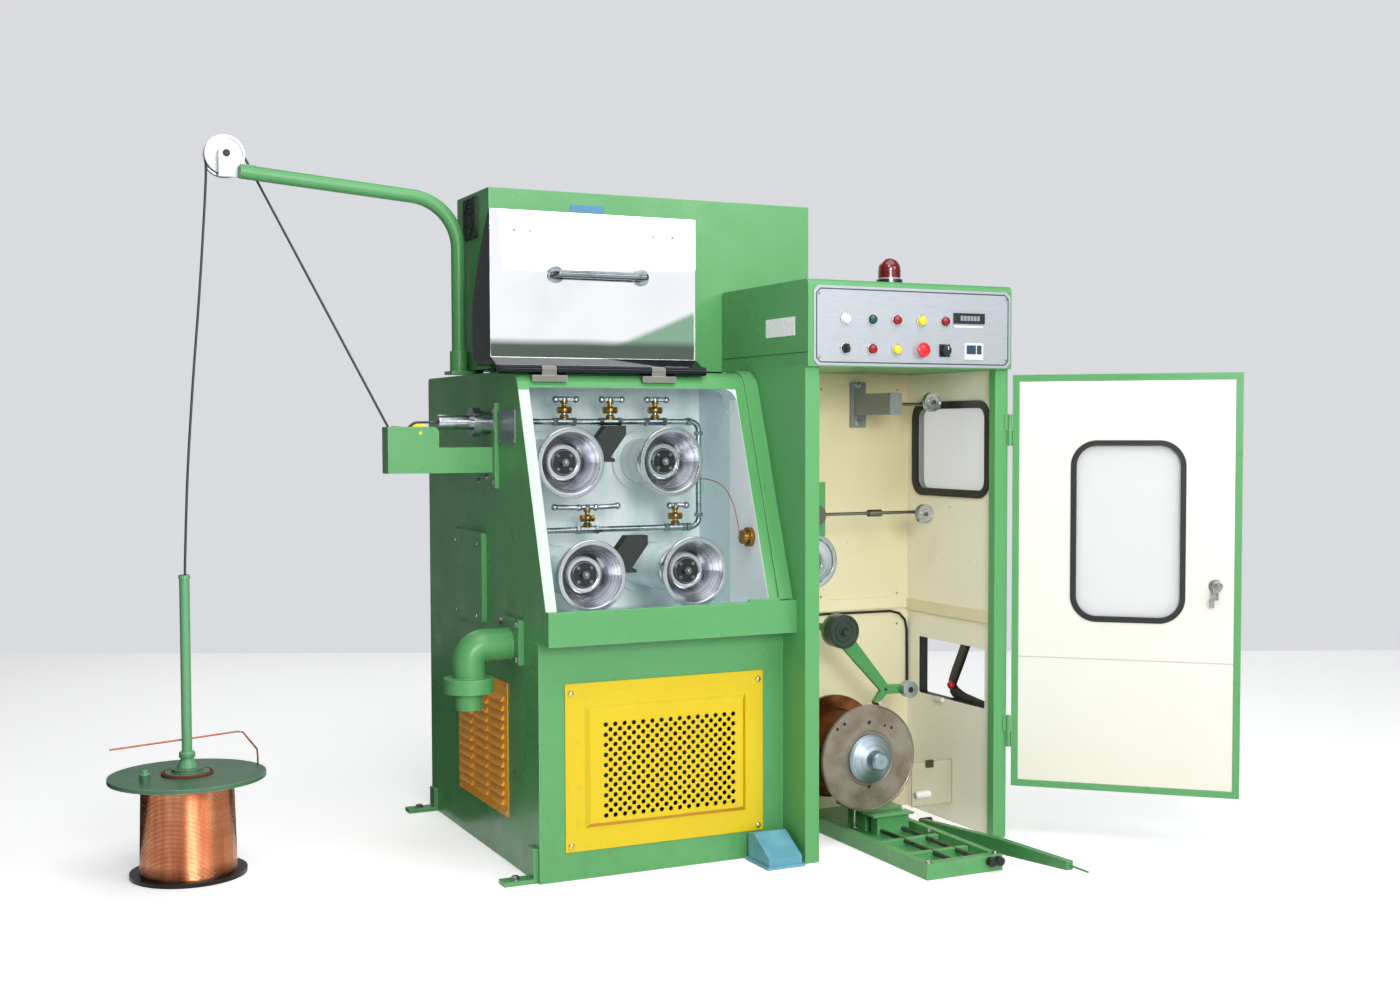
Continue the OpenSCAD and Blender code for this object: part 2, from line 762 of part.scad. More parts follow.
module payoff_arm() {
    color("seagreen") from_foot() {
        translate(arm_foot) {
            block(-34, arm_out + 18, -38, 38, 0, arm_base_t);
            rod_z(0, 0, arm_base_t, 60, arm_d / 2 + 6);
            rod_z(0, 0, arm_base_t, arm_level - arm_bend - body_h - arm_base_t, arm_d / 2);
            quarter_arc(-arm_bend, 0, arm_level - arm_bend - body_h, arm_bend, arm_d / 2,
                90 - arm_rise);
            translate([bend_end[0], 0, bend_end[1]]) rotate([0, arm_rise - 90, 0])
                translate([0, 0, -tube_lap])
                    cylinder(h = arm_reach + tube_lap, r = arm_d / 2 - tube_step);
        }
        block(arm_end[0] + 2, arm_end[0] + 46, arm_y, lug_y + lug_t, arm_end[1] - 16,
            arm_end[1] + 20);
        difference() {
            along_y(lug_y, lug_t) {
                translate([pulley_x - 22, arm_end[1] - 14]) square([68, 30]);
                translate([pulley_x - 22, arm_end[1] - 14]) square([44, pulley_z
                    - arm_end[1] + 14]);
                translate([pulley_x, pulley_z]) circle(22);
            }
            rod_y(pulley_x, lug_y - cut, pulley_z, lug_t + 2 * cut, pulley_pin_r);
        }
    }
}

module quarter_arc(x, y, z, bend_r, r, a) {
    translate([x, y, z]) rotate([90, 0, 0]) rotate_extrude(angle = a)
        translate([bend_r, 0]) circle(r);
}

strap_r = pulley_d / 2 + 4;
strap_t = 4;
strap_w = 20;
groove_half = 5;
groove_deep = 10;
groove_play = 0.8;

module pulley_fork() {
    color("silver") from_foot() {
        rod_y(pulley_x, lug_y, pulley_z, pulley_y + pulley_w / 2 + 14 - lug_y, pulley_pin_r);
        rod_y(pulley_x, pulley_y + pulley_w / 2 + 4, pulley_z, 8, pulley_pin_r + 6);
        along_y(pulley_y - strap_w / 2, strap_w) difference() {
            translate([pulley_x, pulley_z]) circle(strap_r + strap_t);
            translate([pulley_x, pulley_z]) circle(strap_r);
            translate([pulley_x - 100, pulley_z - strap_r * sin(45)]) square([200, 200]);
        }
        block(pulley_x - 10, pulley_x + 10, lug_y + lug_t, pulley_y, pulley_z - strap_r
            - strap_t, pulley_z - strap_r - 0.5);
    }
}

module payoff_pulley() {
    w = pulley_w / 2;
    r = pulley_d / 2;
    bottom = r - groove_deep - groove_play;
    color("whitesmoke") from_foot() translate([pulley_x, pulley_y, pulley_z])
        rotate([-90, 0, 0]) rotate_extrude() polygon([[pulley_pin_r + fit, -w],
        [18, -w], [20, -w + 5], [r - 8, -w + 5], [r - 6, -w], [r, -w], [r, -w + 4],
        [bottom, -groove_half], [bottom, groove_half], [r, w - 4], [r, w], [r - 6, w],
        [r - 8, w - 5], [20, w - 5], [18, w],
        [pulley_pin_r + fit, w]]);
}

// Take-up cabinet: three walls, posts in front, a window and a hand opening on the right
module takeup_left_wall() {
    color("seagreen") from_foot() {
        block(body_w, body_w + left_t, -take_front, inner_back, 0, take_h);
        block(body_w, body_w + post_w, -take_front, -take_front + 40, 0, take_h);
    }
}

wheel_x = body_w + 158;
wheel_z = 839;
wheel_r = wheel_d / 2;
wheel_shaft_d = 30;
dancer_x = body_w + 263;
dancer_z = 622;
dancer_shaft_d = 24;
spool_x = body_w + spool_in;

module takeup_back_wall() {
    color("cornsilk") from_foot() difference() {
        block(body_w, take_x1, inner_back, bulkhead_y, 0, take_h);
        rod_y(spool_x, inner_back - cut, spool_z, back_t + 2 * cut, spindle_d / 2 + fit);
        rod_y(wheel_x, inner_back - cut, wheel_z, back_t + 2 * cut, wheel_shaft_d / 2 + fit);
        rod_y(dancer_x, inner_back - cut, dancer_z, back_t + 2 * cut,
            dancer_shaft_d / 2 + fit);
    }
}

win_w = 390;
win_h = 268;
win_y0 = -76;
win_z0 = take_h - 105 - win_h;
win_r = 40;
port_w = 358;
port_h = 182;
port_y0 = -68;
port_z0 = 383;
seal_w = 15;
glass_t = 6;

module side_hole(d) {
    round_rect(win_y0 + d, win_z0 + d, win_w - 2 * d, win_h - 2 * d, win_r - d);
}

module takeup_right_wall() {
    color("cornsilk") from_foot() {
        difference() {
            block(inner_x1, take_x1, -take_front, inner_back, 0, take_h);
            along_x(inner_x1 - cut, right_t + 2 * cut) side_hole(0);
            along_x(inner_x1 - cut, right_t + 2 * cut)
                round_rect(port_y0, port_z0, port_w, port_h, 6);
        }
        block(take_x1 - post_w, inner_x1, -take_front, -take_front + 30, 0, take_h);
    }
}

module right_wall_seals() {
    color("dimgray") from_foot() {
        difference() {
            union() {
                along_x(inner_x1 - 6, 6) side_hole(-seal_w);
                along_x(inner_x1 - 6, right_t) side_hole(seat);
            }
            along_x(inner_x1 - 6 - cut, right_t + 2 * cut) side_hole(8);
        }
        block(take_x1, take_x1 + 10, -take_front + 13, -take_front + 33, 390, take_h - 230);
    }
}

module side_glass() {
    color("lightblue", 0.4) from_foot() along_x(inner_x1 + 6, glass_t) side_hole(8 + seat);
}

// Control box: front and back edges rounded, with the panel on its overhanging front
edge_r = 16;
panel_y = -take_front - box_over;
panel_x0 = body_w + 16;
panel_x1 = take_x1 - 6;
panel_z0 = take_h + 3;
panel_z1 = box_top - 18;
panel_cut = 14;

module control_box() {
    y1 = bulkhead_y - 3;
    color("seagreen") from_foot() along_x(body_w, take_w) polygon(concat(
        [[panel_y, take_h], [y1, take_h]],
        [for (k = [0:4]) [y1 - edge_r + edge_r * cos(22.5 * k),
            box_top - edge_r + edge_r * sin(22.5 * k)]],
        [for (k = [4:8]) [panel_y + edge_r + edge_r * cos(22.5 * k),
            box_top - edge_r + edge_r * sin(22.5 * k)]]));
}

module control_panel() {
    c = panel_cut;
    color("whitesmoke") from_foot() along_y(panel_y - panel_t, panel_t) polygon([
        [panel_x0 + c, panel_z0], [panel_x1 - c, panel_z0], [panel_x1, panel_z0 + c],
        [panel_x1, panel_z1 - c], [panel_x1 - c, panel_z1], [panel_x0 + c, panel_z1],
        [panel_x0, panel_z1 - c], [panel_x0, panel_z0 + c]]);
}

row_z = [box_top - 110, box_top - 194];
row_x = [117, 205, 287, 371, 452];
cap_r = [[11, 11, 11, 11, 11], [9, 11, 11, 21, 9]];
cap_l = [[9, 8, 8, 8, 8], [16, 8, 8, 20, 16]];

module push_buttons() {
    y = panel_y - panel_t;
    color("firebrick") from_foot() {
        for (i = [0, 1], k = [0:4]) {
            rod_y(body_w + row_x[k], y - 5, row_z[i], 5, 15);
            rod_y(body_w + row_x[k], y - 5 - cap_l[i][k], row_z[i], cap_l[i][k], cap_r[i][k]);
        }
        block(body_w + 483, body_w + 590, y - 5, y, row_z[0] - 4, row_z[0] + 26);
        block(body_w + 520, body_w + 586, y - 5, y, row_z[1] - 25, row_z[1] + 24);
    }
}

beacon_x = body_w + 322;
beacon_y = -60;
beacon_r = 32;

module beacon() {
    color("darkred") from_foot() {
        rod_z(beacon_x, beacon_y, box_top, 14, beacon_r + 6);
        rod_z(beacon_x, beacon_y, box_top + 14, 30, beacon_r);
        translate([beacon_x, beacon_y, box_top + 44]) rotate_extrude() intersection() {
            circle(beacon_r);
            square([40, 40]);
        }
    }
}

// Guide pulleys in the take-up cabinet, and the plates and rods that carry them
guide_r = guide_d / 2;
guide_pin_r = 6;
upper_x = take_x1 - 101;
upper_z = take_h - 93;
lower_x = take_x1 - 127;
lower_z = 970;
bar_z = upper_z - 7;
bar_x = body_w + 448;
wheel_top = wheel_z + wheel_r;
small_plate_x1 = wheel_x + 70;
rod_y0 = wire_y + 37;
front_roller_x = wheel_x + 21;
front_roller_z = lower_z + 5;

module guide_plates() {
    color("seagreen") from_foot() {
        block(body_w + left_t, small_plate_x1, rod_y0 - 8, rod_y0 + 8, wheel_top - 12,
            wheel_top + 153);
        block(bar_x - 8, bar_x + 46, inner_back - 12, inner_back, bar_z - 71, bar_z + 73);
        block(bar_x, bar_x + 42, wire_y + 12, inner_back - 12, bar_z - 32, bar_z + 35);
    }
}

module guide_rods() {
    color("silver") from_foot() {
        rod_x(bar_x + 42, wire_y + 22, bar_z, upper_x - bar_x - 37, 5);
        rod_y(upper_x, wire_y - 14, upper_z, 40, guide_pin_r);
        rod_x(small_plate_x1, rod_y0, front_roller_z, lower_x - small_plate_x1, 5);
        rod_x(body_w + 384, rod_y0, front_roller_z, 45, 11);
        rod_y(lower_x, wire_y - 14, lower_z, rod_y0 - wire_y + 20, guide_pin_r);
        rod_y(front_roller_x, wire_y - 8, front_roller_z, 20, 31);
        rod_y(front_roller_x, wire_y - 12, front_roller_z, rod_y0 - wire_y + 4, 8);
    }
}

module guide_pulley(x, z) {
    color("silver") from_foot() translate([x, wire_y, z]) rotate([-90, 0, 0])
        rotate_extrude() polygon([[guide_pin_r + fit, -9], [14, -9], [16, -5],
        [guide_r - 6, -5], [guide_r - 4, -9], [guide_r, -9], [guide_r - 7, 0], [guide_r, 9],
        [guide_r - 4, 9], [guide_r - 6, 5], [16, 5], [14, 9], [guide_pin_r + fit, 9]]);
}

module upper_guide_pulley() {
    guide_pulley(upper_x, upper_z);
}

module lower_guide_pulley() {
    guide_pulley(lower_x, lower_z);
}

wheel_w = 40;

module capstan_wheel() {
    r = wheel_r;
    color("silver") from_foot() {
        translate([wheel_x, wire_y - wheel_w / 2, wheel_z]) rotate([-90, 0, 0])
            rotate_extrude($fn = 96) polygon([[0, 14], [26, 14], [34, 6], [r - 16, 4],
            [r - 12, 0], [r, 0], [r, 6], [r - 5, 11], [r - 5, wheel_w - 11], [r, wheel_w - 6],
            [r, wheel_w], [0, wheel_w]]);
        rod_y(wheel_x, wire_y - wheel_w / 2 + 2, wheel_z, 12, 12);
        rod_y(wheel_x, wire_y + wheel_w / 2, wheel_z,
            bulkhead_y + shaft_in - 10 - wire_y - wheel_w / 2, wheel_shaft_d / 2);
    }
}

// Dancer: bent arm on a hub, with a large roller at its elbow and a small one on its leg
arm_t = 14;
dancer_y = wire_y + 12;
elbow_p = [dancer_x + 171, dancer_z - 192];
tip_p = [dancer_x + 244, dancer_z - 194.5];
leg_p = [dancer_x + 137, dancer_z - 230];

module bar_between(a, b, w0, w1) {
    d = b - a;
    n = [-d[1], d[0]] / norm(d);
    polygon([a + n * w0, a - n * w0, b - n * w1, b + n * w1]);
}

module dancer_arm() {
    hub = [dancer_x, dancer_z];
    color("seagreen") from_foot() {
        along_y(dancer_y, arm_t) {
            bar_between(hub, elbow_p, 26, 15);
            translate(elbow_p) circle(15);
            bar_between(elbow_p, tip_p, 15, 13);
            translate(tip_p) circle(13);
            bar_between(elbow_p, leg_p, 13, 9);
            translate(leg_p) circle(9);
        }
        rod_y(dancer_x, dancer_y - 38, dancer_z, 38 + arm_t, 51.5);
        rod_y(dancer_x, dancer_y + arm_t, dancer_z, bulkhead_y - 5 - dancer_y - arm_t,
            dancer_shaft_d / 2);
        rod_y(tip_p[0], dancer_y - 28, tip_p[1], 28, 26);
        rod_y(leg_p[0], dancer_y - 26, leg_p[1], 26, 8);
    }
}

// Take-up spool on its spindle, held by a clamp in front
module take_up_spool() {
    color("peru") from_foot() difference() {
        union() {
            rod_y(spool_x, -spool_front, spool_z, flange_t, spool_d / 2);
            rod_y(spool_x, -spool_front + flange_t, spool_z, spool_len - 2 * flange_t,
                winding_d / 2);
            rod_y(spool_x, -spool_front + spool_len - flange_t, spool_z, flange_t,
                spool_d / 2);
        }
        rod_y(spool_x, -spool_front - cut, spool_z, spool_len + 2 * cut, spindle_d / 2 + seat);
    }
}

clamp_back = 20;

module spool_clamp() {
    color("lightsteelblue") from_foot() {
        translate([spool_x, -spool_front - seat, spool_z]) rotate([90, 0, 0]) rotate_extrude()
            polygon([[0, 0], [73, 0], [73, 10], [66, 16], [40, 30], [30, 34], [27, 40], [27, 62],
            [22, 68], [0, 68]]);
        rod_y(spool_x, -spool_front + spool_len + seat, spool_z, clamp_back, 70);
        rod_y(spool_x, -spool_front - cut, spool_z, bulkhead_y + shaft_in - 10 + spool_front,
            spindle_d / 2);
    }
}

housing_front = -spool_front + spool_len + clamp_back + 8;

module spindle_housing() {
    color("dimgray") from_foot() difference() {
        union() {
            rod_y(spool_x, housing_front, spool_z, inner_back - housing_front, 110);
            block(body_w + 50, spool_x - 76, housing_front, inner_back, 22, spool_z + 3);
        }
        rod_y(spool_x, housing_front - cut, spool_z, inner_back - housing_front + 2 * cut,
            spindle_d / 2 + fit);
    }
}

// Loading platform under the spool: base, rails, cross piece, lift table and lever pin
deck_x0 = spool_x - 66;
deck_x1 = spool_x + 184;
deck_y0 = -430;
deck_t = 20;
rail_top = 45;
table_top = spool_z - spool_d / 2 - 7;
lever_x = deck_x1 + 53;
lever_w = 20;
lever_y = 40;
lever_pin_r = 8;

module loading_platform() {
    color("seagreen") from_foot() {
        block(deck_x0, deck_x1, deck_y0, inner_back, 0, deck_t);
        for (x = [deck_x0, deck_x1 - 20])
            block(x, x + 20, deck_y0, inner_back, deck_t, rail_top);
        block(deck_x0 + 20, deck_x1 - 20, deck_y0, deck_y0 + 30, deck_t, rail_top);
        block(spool_x + 29, spool_x + 116, 50, 150, deck_t, table_top - 12);
        block(spool_x + 4, spool_x + 141, 20, 180, table_top - 12, table_top);
        rod_x(deck_x1 - 10, lever_y, deck_t, lever_x + lever_w / 2 + 18 - deck_x1,
            lever_pin_r);
    }
}

module lift_lever() {
    color("seagreen") from_foot() {
        along_x(lever_x - lever_w / 2, lever_w) difference() {
            polygon([[lever_y + 20, 4], [lever_y + 20, 34], [-345, 65], [-659, 74], [-659, 49],
                [-383, 25], [lever_y - 10, 4]]);
            translate([lever_y, deck_t]) circle(lever_pin_r + fit);
        }
        rod_y(lever_x, -734, 62, 80, 3);
    }
}

module spool_guard() {
    color("lightblue", 0.4) from_foot()
        block(lever_x - 9, inner_x1, wire_y - 20, wire_y - 16, 60, 200);
}

// Foot switch: a sloping treadle on its base plate
treadle_w = 104;
treadle_base_w = 120;
treadle_x1 = body_w - 10;

module foot_switch() {
    color("lightblue") from_foot() {
        block(treadle_x1 - treadle_base_w, treadle_x1, -152, -14, 0, 8);
        along_x(treadle_x1 - 8 - treadle_w, treadle_w) polygon([[-146, 8], [-18, 8], [-18, 78], [-50, 84], [-146, 30]]);
    }
}

// Standing supply spool with its disc, felt ring, hub and guide rod
spool_base_r = 158;
cap_t = 12;

module payoff_spool() {
    color("peru") from_foot() translate([-supply_x, supply_y, 0]) {
        cylinder(h = 12, r = spool_base_r);
        translate([0, 0, 12]) cylinder(h = supply_h - 24, r1 = 131, r2 = 125);
        translate([0, 0, supply_h - 12]) cylinder(h = 12, r = 125);
    }
}

module payoff_cap() {
    color("seagreen") from_foot() translate([-supply_x, supply_y, supply_h]) {
        cylinder(h = cap_t, r = cap_d / 2);
        translate([0, 0, cap_t]) cylinder(h = 8, r = 60);
        translate([0, 0, cap_t + 8]) cylinder(h = 10, r = 42);
        translate([0, 0, cap_t + 18]) cylinder(h = 30, r1 = 28, r2 = 16);
        translate([0, 0, cap_t + 8]) cylinder(h = rod_h - 8, r = 14);
        rod_z(-120, -60, cap_t, 22, 14);
        rod_z(-120, -60, cap_t + 22, 10, 8);
    }
}

// Door: leaf, lining, seal and glass, drawn closed and then swung open about its hinge
hinge_x = take_x1 + 4;
hinge_y = -take_front - 7;
door_y1 = -take_front - door_gap;
door_y0 = door_y1 - door_t;
door_x1 = take_x1 - 4;
door_x0 = door_x1 - door_w;
door_top = take_h - 16;
door_win_w = 312;
door_win_h = 520;
door_win_x0 = hinge_x - 499;
door_win_z0 = door_z + 511;
door_win_r = 68;
border = 20;
lining_t = 8;
fold_z = 552;
door_hinge_z = [door_z + 165, door_top - 164];
knuckle_l = 47;
hinge_r = door_hinge_d / 2;
hinge_pin_r = 4;

module door_swing() {
    translate([hinge_x, hinge_y, 0]) rotate([0, 0, door_open])
        translate([-hinge_x, -hinge_y, 0]) children();
}

module door_hole(d) {
    round_rect(door_win_x0 + d, door_win_z0 + d, door_win_w - 2 * d, door_win_h - 2 * d,
        door_win_r - d);
}

module door_leaf() {
    color("seagreen") from_foot() door_swing() {
        difference() {
            block(door_x0, door_x1, door_y0, door_y1, door_z, door_top);
            block(door_x0 + border, door_x1 - border, door_y1 - lining_t, door_y1 + cut,
                door_z + border, door_top - border);
            along_y(door_y0 - cut, door_t + 2 * cut) door_hole(0);
        }
        for (z = door_hinge_z) difference() {
            union() {
                rod_z(hinge_x, hinge_y, z - knuckle_l - seat, knuckle_l, hinge_r);
                block(door_x1 - 1, hinge_x, hinge_y - 6, hinge_y - 3, z - knuckle_l - seat,
                    z - seat);
            }
            rod_z(hinge_x, hinge_y, z - knuckle_l - cut, knuckle_l + 2 * cut,
                hinge_pin_r + fit);
        }
    }
}

module door_lining() {
    y1 = door_y1 - 1;
    color("cornsilk") from_foot() door_swing() {
        difference() {
            block(door_x0 + border + seat, door_x1 - border - seat, door_y1 - lining_t, y1,
                door_z + border + seat, door_top - border - seat);
            along_y(door_y0, door_t) door_hole(0);
            block(door_x0, door_x1, y1 - 3, y1 + cut, fold_z - 1, fold_z + 1);
        }
        rod_y(hinge_x - 591, y1, 777, 9, 13);
        rod_y(hinge_x - 591, y1 + 9, 777, 6, 8);
    }
}

module door_seal() {
    color("dimgray") from_foot() door_swing() difference() {
        union() {
            along_y(door_y0 - 3, 3) door_hole(-8);
            along_y(door_y0 - 3, door_t + 5) door_hole(seat);
            along_y(door_y1 - 1, 3) door_hole(-8);
        }
        along_y(door_y0 - 3 - cut, door_t + 5 + 2 * cut) door_hole(8);
    }
}

module door_glass() {
    color("lightblue", 0.4) from_foot() door_swing()
        along_y(door_y0 + door_t / 2 - glass_t / 2, glass_t) door_hole(8 + seat);
}

// Lid: polished double skin on a chrome bar, standing open against the electric cabinet
roll_r = roll_d / 2;
lid_y = brow_mid[0] - 55;
lid_z = body_h + 2;
plate_y = lid_y + 64;
plate_z = lid_z + 36;
lid_x0 = -lid_over;
lid_back = plate_y + lid_depth;
lid_top = plate_z + lid_h;
lid_hinge_x = [147, 481];
knuckle_w = 43;
bar_pin_r = 4;
pin_in = 20;
leaf_w = 104;

module lid() {
    color("silver") from_foot() difference() {
        along_x(lid_x0, lid_w) {
            translate([lid_y, lid_z]) circle(roll_r);
            polygon([[lid_y + 5, lid_z + 8], [lid_y + 10, lid_z], [plate_y + 10, plate_z - 6],
                [lid_back - 40, plate_z - 22], [lid_back - 14, plate_z - 4],
                [lid_back, plate_z + 38], [lid_back, plate_z + 108],
                [lid_back - 6, plate_z + 162], [lid_back - 30, plate_z + 221],
                [plate_y + 85, lid_top - 103], [plate_y + 40, lid_top - 39],
                [plate_y + 10, lid_top], [plate_y, lid_top], [plate_y, plate_z]]);
        }
        for (x = lid_hinge_x) {
            rod_x(lid_x0 + x - knuckle_w / 2 - 0.5, lid_y, lid_z, knuckle_w + 1, roll_r + 1.5);
            rod_x(lid_x0 + x - knuckle_w / 2 - pin_in - 1, lid_y, lid_z,
                knuckle_w + 2 * pin_in + 2, bar_pin_r + fit);
        }
    }
}

grip_x = [194, 456];
grip_z = plate_z + 235;
grip_r = 11;
grip_out = 34;

module lid_handle() {
    color("gainsboro") from_foot() {
        for (x = grip_x) {
            rod_y(lid_x0 + x, plate_y - 8, grip_z, 8, 24);
            rod_y(lid_x0 + x, plate_y - grip_out, grip_z, grip_out, grip_r);
            translate([lid_x0 + x, plate_y - grip_out, grip_z]) sphere(grip_r);
        }
        rod_x(lid_x0 + grip_x[0], plate_y - grip_out, grip_z, grip_x[1] - grip_x[0], grip_r);
    }
}

// Fixed halves of the hinges: leaves and knuckles under the lid's bar, knuckles on the right post
module fixed_hinges() {
    color("silver") from_foot() {
        for (x = lid_hinge_x) {
            along_x(lid_x0 + x - leaf_w / 2, leaf_w) difference() {
                translate([lid_y - 14, body_h - 32]) square([46, 18]);
                hood_outline();
            }
            along_x(lid_x0 + x - knuckle_w / 2, knuckle_w) {
                translate([lid_y, lid_z]) circle(roll_r - 2);
                translate([lid_y - 9, body_h - 16]) square([18, 14]);
            }
            rod_x(lid_x0 + x - knuckle_w / 2 - pin_in, lid_y, lid_z,
                knuckle_w + 2 * pin_in, bar_pin_r);
        }
        for (z = door_hinge_z) {
            rod_z(hinge_x, hinge_y, z, knuckle_l, hinge_r);
            rod_z(hinge_x, hinge_y, z - knuckle_l, knuckle_l + 1, hinge_pin_r);
            block(hinge_x - 16, hinge_x + 4, hinge_y + 3, -take_front, z, z + knuckle_l);
        }
    }
}

// A round cord along a list of points, eight sided, and a smooth curve through control points
function unit(v) = v / norm(v);
function tangent(p, i) = unit(p[min(i + 1, len(p) - 1)] - p[max(i - 1, 0)]);
function ring(p, i, r) = let (t = tangent(p, i), u = unit(cross(t, [0.1, 1, 0.05])),
    v = cross(t, u)) [for (k = [0:7]) p[i] + r * (cos(45 * k) * u + sin(45 * k) * v)];
function through(a, b, c, d, t) = 0.5 * ((2 * b) + (c - a) * t
    + (2 * a - 5 * b + 4 * c - d) * t * t + (3 * b - a - 3 * c + d) * t * t * t);
function curve(p, n) = let (m = len(p) - 1) concat(
    [for (i = [0:m - 1], k = [0:n - 1])
        through(p[max(i - 1, 0)], p[i], p[i + 1], p[min(i + 2, m)], k / n)], [p[m]]);
function arc(x, y, z, r, a0, a1, n) = [for (k = [0:n]) let (a = a0 + (a1 - a0) * k / n)
    [x + r * cos(a), y, z + r * sin(a)]];

module cord(p, r) {
    n = len(p);
    points = [for (i = [0:n - 1]) each ring(p, i, r)];
    sides = [for (i = [0:n - 2], k = [0:7])
        [8 * i + k, 8 * i + (k + 1) % 8, 8 * i + 8 + (k + 1) % 8, 8 * i + 8 + k]];
    ends = [[for (k = [0:7]) 7 - k], [for (k = [0:7]) 8 * (n - 1) + k]];
    polyhedron(points = points, faces = concat(sides, ends));
}

// Supply wire: slack from the rod to the pulley, over it, down under and over the entry rollers
over_pulley = arc(pulley_x, pulley_y, pulley_z, pulley_d / 2 - groove_deep + wire_r + seat,
    176, 23, 10);
under_small = arc(small_x, entry_y, small_z, small_r + wire_r + seat, 204, 312, 6);
over_roller = arc(roller_x, entry_y, roller_z, roller_r + wire_r + seat, 132, 90, 4);
supply_slack = [[-supply_x + 2, supply_y, supply_h + cap_t + rod_h + seat],
    [-supply_x + 4, supply_y + 1, 900], [-supply_x + 15, supply_y + 9, 1120],
    [-supply_x + 36, supply_y + 30, 1370], [-supply_x + 62, supply_y + 62, 1620],
    [-supply_x + 84, supply_y + 98, 1850], over_pulley[0] + [-2, -7, -70]];

module supply_wire() {
    color("dimgray") from_foot() cord(concat(curve(supply_slack, 4), over_pulley, under_small,
        over_roller, [[-180, entry_y, entry_z], [-60, entry_y, entry_z],
        [-plate_t - 4, entry_y, entry_z]]), wire_r);
}

// Drawn wire: leaves the upper right cone, bends down and passes into the exit die
drawn_r = 1.5;
drawn_pts = [[cone_x(1) + 32, 195, cone_z(1) - 84], [cone_x(1) + 77, 192, cone_z(1) - 63],
    [cone_x(1) + 118, 178, cone_z(1) - 52], [chamber_x1 - 52, 130, cone_z(1) - 71],
    [chamber_x1 - 40, 88, cone_z(1) - 118], [chamber_x1 - 38, die_y + 8, die_z + 40],
    [chamber_x1 - 36, die_y + 2, die_z + 8], [chamber_x1 - 28, die_y, die_z],
    [chamber_x1 - 12, die_y, die_z]];

module drawn_wire() {
    color("chocolate") from_foot() cord(curve(drawn_pts, 4), drawn_r);
}

lower_cabinet();
coolant_tray();
hood_shell();
bulkhead();
rear_housing();
electric_cabinet();
fan_grille();
cone_housings();
die_holders();
spray_pipes();
pipe_taps();
exit_die();
drawn_wire();
vent_panel();
louvre_panel();
side_cover_plates();
coolant_elbow();
entry_bracket();
inlet_guide();
payoff_arm();
pulley_fork();
takeup_left_wall();
takeup_back_wall();
takeup_right_wall();
right_wall_seals();
side_glass();
control_box();
control_panel();
push_buttons();
beacon();
fixed_hinges();
guide_plates();
guide_rods();
spindle_housing();
loading_platform();
spool_guard();
foot_switch();
payoff_spool();
payoff_cap();
supply_wire();
door_leaf();
door_lining();
door_seal();
door_glass();
lid();
lid_handle();
cone_upper_left();
cone_upper_right();
cone_lower_left();
cone_lower_right();
capstan_wheel();
upper_guide_pulley();
lower_guide_pulley();
dancer_arm();
take_up_spool();
spool_clamp();
payoff_pulley();
entry_roller();
lift_lever();
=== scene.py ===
"""The look of the wire drawing machine: finishes, small fittings, floor, lamps and camera."""
import math
import bpy
import numpy as np
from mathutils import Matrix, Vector


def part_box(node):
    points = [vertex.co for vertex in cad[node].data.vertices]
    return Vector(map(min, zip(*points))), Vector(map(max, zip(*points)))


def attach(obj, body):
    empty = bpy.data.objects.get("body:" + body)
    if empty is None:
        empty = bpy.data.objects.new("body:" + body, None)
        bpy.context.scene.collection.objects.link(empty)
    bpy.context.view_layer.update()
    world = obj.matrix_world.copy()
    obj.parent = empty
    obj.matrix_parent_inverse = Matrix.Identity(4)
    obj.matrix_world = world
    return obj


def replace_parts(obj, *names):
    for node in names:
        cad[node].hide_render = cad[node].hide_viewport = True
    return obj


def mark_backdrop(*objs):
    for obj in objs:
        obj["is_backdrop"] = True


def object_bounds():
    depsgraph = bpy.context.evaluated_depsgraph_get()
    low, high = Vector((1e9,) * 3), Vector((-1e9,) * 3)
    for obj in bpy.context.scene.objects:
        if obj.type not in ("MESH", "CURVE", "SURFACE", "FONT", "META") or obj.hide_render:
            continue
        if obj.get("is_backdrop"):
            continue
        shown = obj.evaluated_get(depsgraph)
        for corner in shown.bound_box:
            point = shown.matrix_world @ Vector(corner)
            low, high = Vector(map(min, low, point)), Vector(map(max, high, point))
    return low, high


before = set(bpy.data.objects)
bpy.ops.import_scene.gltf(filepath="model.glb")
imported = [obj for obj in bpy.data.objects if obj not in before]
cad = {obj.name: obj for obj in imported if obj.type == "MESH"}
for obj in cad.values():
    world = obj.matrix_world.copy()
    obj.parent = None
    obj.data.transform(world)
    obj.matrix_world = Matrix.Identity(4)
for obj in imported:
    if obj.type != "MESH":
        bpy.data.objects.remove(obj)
size = {"loaded": [list(v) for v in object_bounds()]}


# Studio: a white floor that runs to a flat pale grey wall nine metres away. The wall keeps one
# even grey in the picture, and the floor is nearly white but still takes the machine's shadow.
def linear(code):
    """sRGB hex code to linear red, green, blue and 1."""
    part = [int(code[i:i + 2], 16) / 255 for i in (0, 2, 4)]
    return [v / 12.92 if v <= 0.04045 else ((v + 0.055) / 1.055) ** 2.4 for v in part] + [1.0]


def add(tree, kind, inputs=None, **settings):
    """One shader node; its inputs are values, or sockets to link from."""
    node = tree.nodes.new(kind)
    for key, value in settings.items():
        setattr(node, key, value)
    for key, value in (inputs or {}).items():
        if isinstance(value, bpy.types.NodeSocket):
            tree.links.new(value, node.inputs[key])
        else:
            node.inputs[key].default_value = value
    return node


